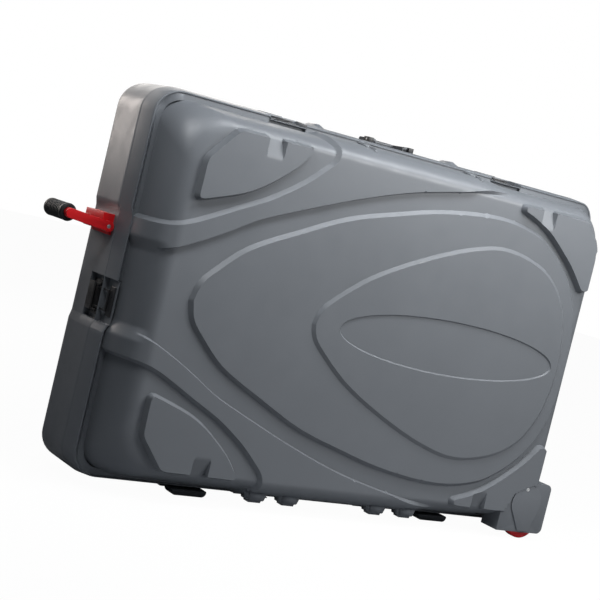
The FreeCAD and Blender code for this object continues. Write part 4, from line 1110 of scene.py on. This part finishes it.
# Studio light: soft lamps close above the front and its right, small warm ones at the handle's end and a
# wide one behind; the room is dim to all but the camera, which sees it white.
scene = bpy.context.scene
world = bpy.data.worlds.new("studio")
scene.world = world
world.use_nodes = True
room_tree = world.node_tree
room = set_inputs(room_tree, room_tree.nodes["Background"], {"Color": (0.80, 0.90, 1.0, 1), "Strength": 0.07})
white = add_node(room_tree, "Background", {"Color": (1, 1, 1, 1), "Strength": 1})
room_mix = add_node(room_tree, "MixShader", {
    "Fac": add_node(room_tree, "LightPath", {}).outputs["Is Camera Ray"],
    1: room.outputs["Background"], 2: white.outputs["Background"]})
set_inputs(room_tree, room_tree.nodes["World Output"], {"Surface": room_mix.outputs["Shader"]})


def soft_lamp(name, place, target, size, power, colour, spread):
    lamp = bpy.data.lights.new(name, "AREA")
    lamp.shape = "RECTANGLE"
    lamp.size, lamp.size_y = size
    lamp.energy = power
    lamp.color = colour
    lamp.spread = math.radians(spread)
    made = add_object(name, lamp)
    made.location = place
    made.rotation_euler = (Vector(target) - Vector(place)).to_track_quat("-Z", "Y").to_euler()


soft_lamp("front_right", (0.80, -1.1, 1.2), (0.2, -0.1, 0.40), (0.9, 0.5), 17, (1, 1, 0.99), 180)
soft_lamp("overhead", (0.15, -0.50, 1.5), (0.05, -0.1, 0.42), (1.3, 0.3), 15, (0.94, 0.97, 1), 180)
soft_lamp("top_left", (-0.88, -0.42, 1.22), (-0.45, -0.1, 0.68), (0.3, 0.3), 1.5, (0.96, 0.98, 1), 120)
soft_lamp("handle_end_high", (-0.80, 0.75, 1.20), (-0.545, 0.08, 0.62), (0.5, 0.5), 0.27, (1, 0.93, 0.87), 70)
soft_lamp("handle_end_level", (-0.98, 1.1, 0.90), (-0.545, 0.08, 0.62), (0.45, 0.45), 0.52, (1, 0.91, 0.85), 50)
soft_lamp("behind", (0.5, 2.6, 1.9), (0.1, 0.1, 0.4), (1.8, 1.2), 24, (1, 0.95, 0.9), 180)

# Camera: where the photograph was taken from, with its slight roll.
camera = add_object("camera", bpy.data.cameras.new("camera"))
azimuth, elevation, roll = math.radians(-34.01), math.radians(3.59), math.radians(-13.71)
flat = math.cos(elevation)
forward = Vector((-math.sin(azimuth) * flat, math.cos(azimuth) * flat, -math.sin(elevation)))
level = forward.cross(Vector((0, 0, 1))).normalized()
right = level * math.cos(roll) + forward.cross(level) * math.sin(roll)
turned = Matrix((right, right.cross(forward), -forward)).transposed().to_4x4()
camera.matrix_world = Matrix.Translation(rim_middle + Vector((-1.827, -2.631, 0.238))) @ turned
camera.data.sensor_width = 36
camera.data.lens = 36 * 1445 / 600
camera.data.shift_x = -34 / 600
camera.data.shift_y = 3 / 600
camera.data.clip_end = 100
scene.camera = camera
scene.view_settings.view_transform = "Standard"
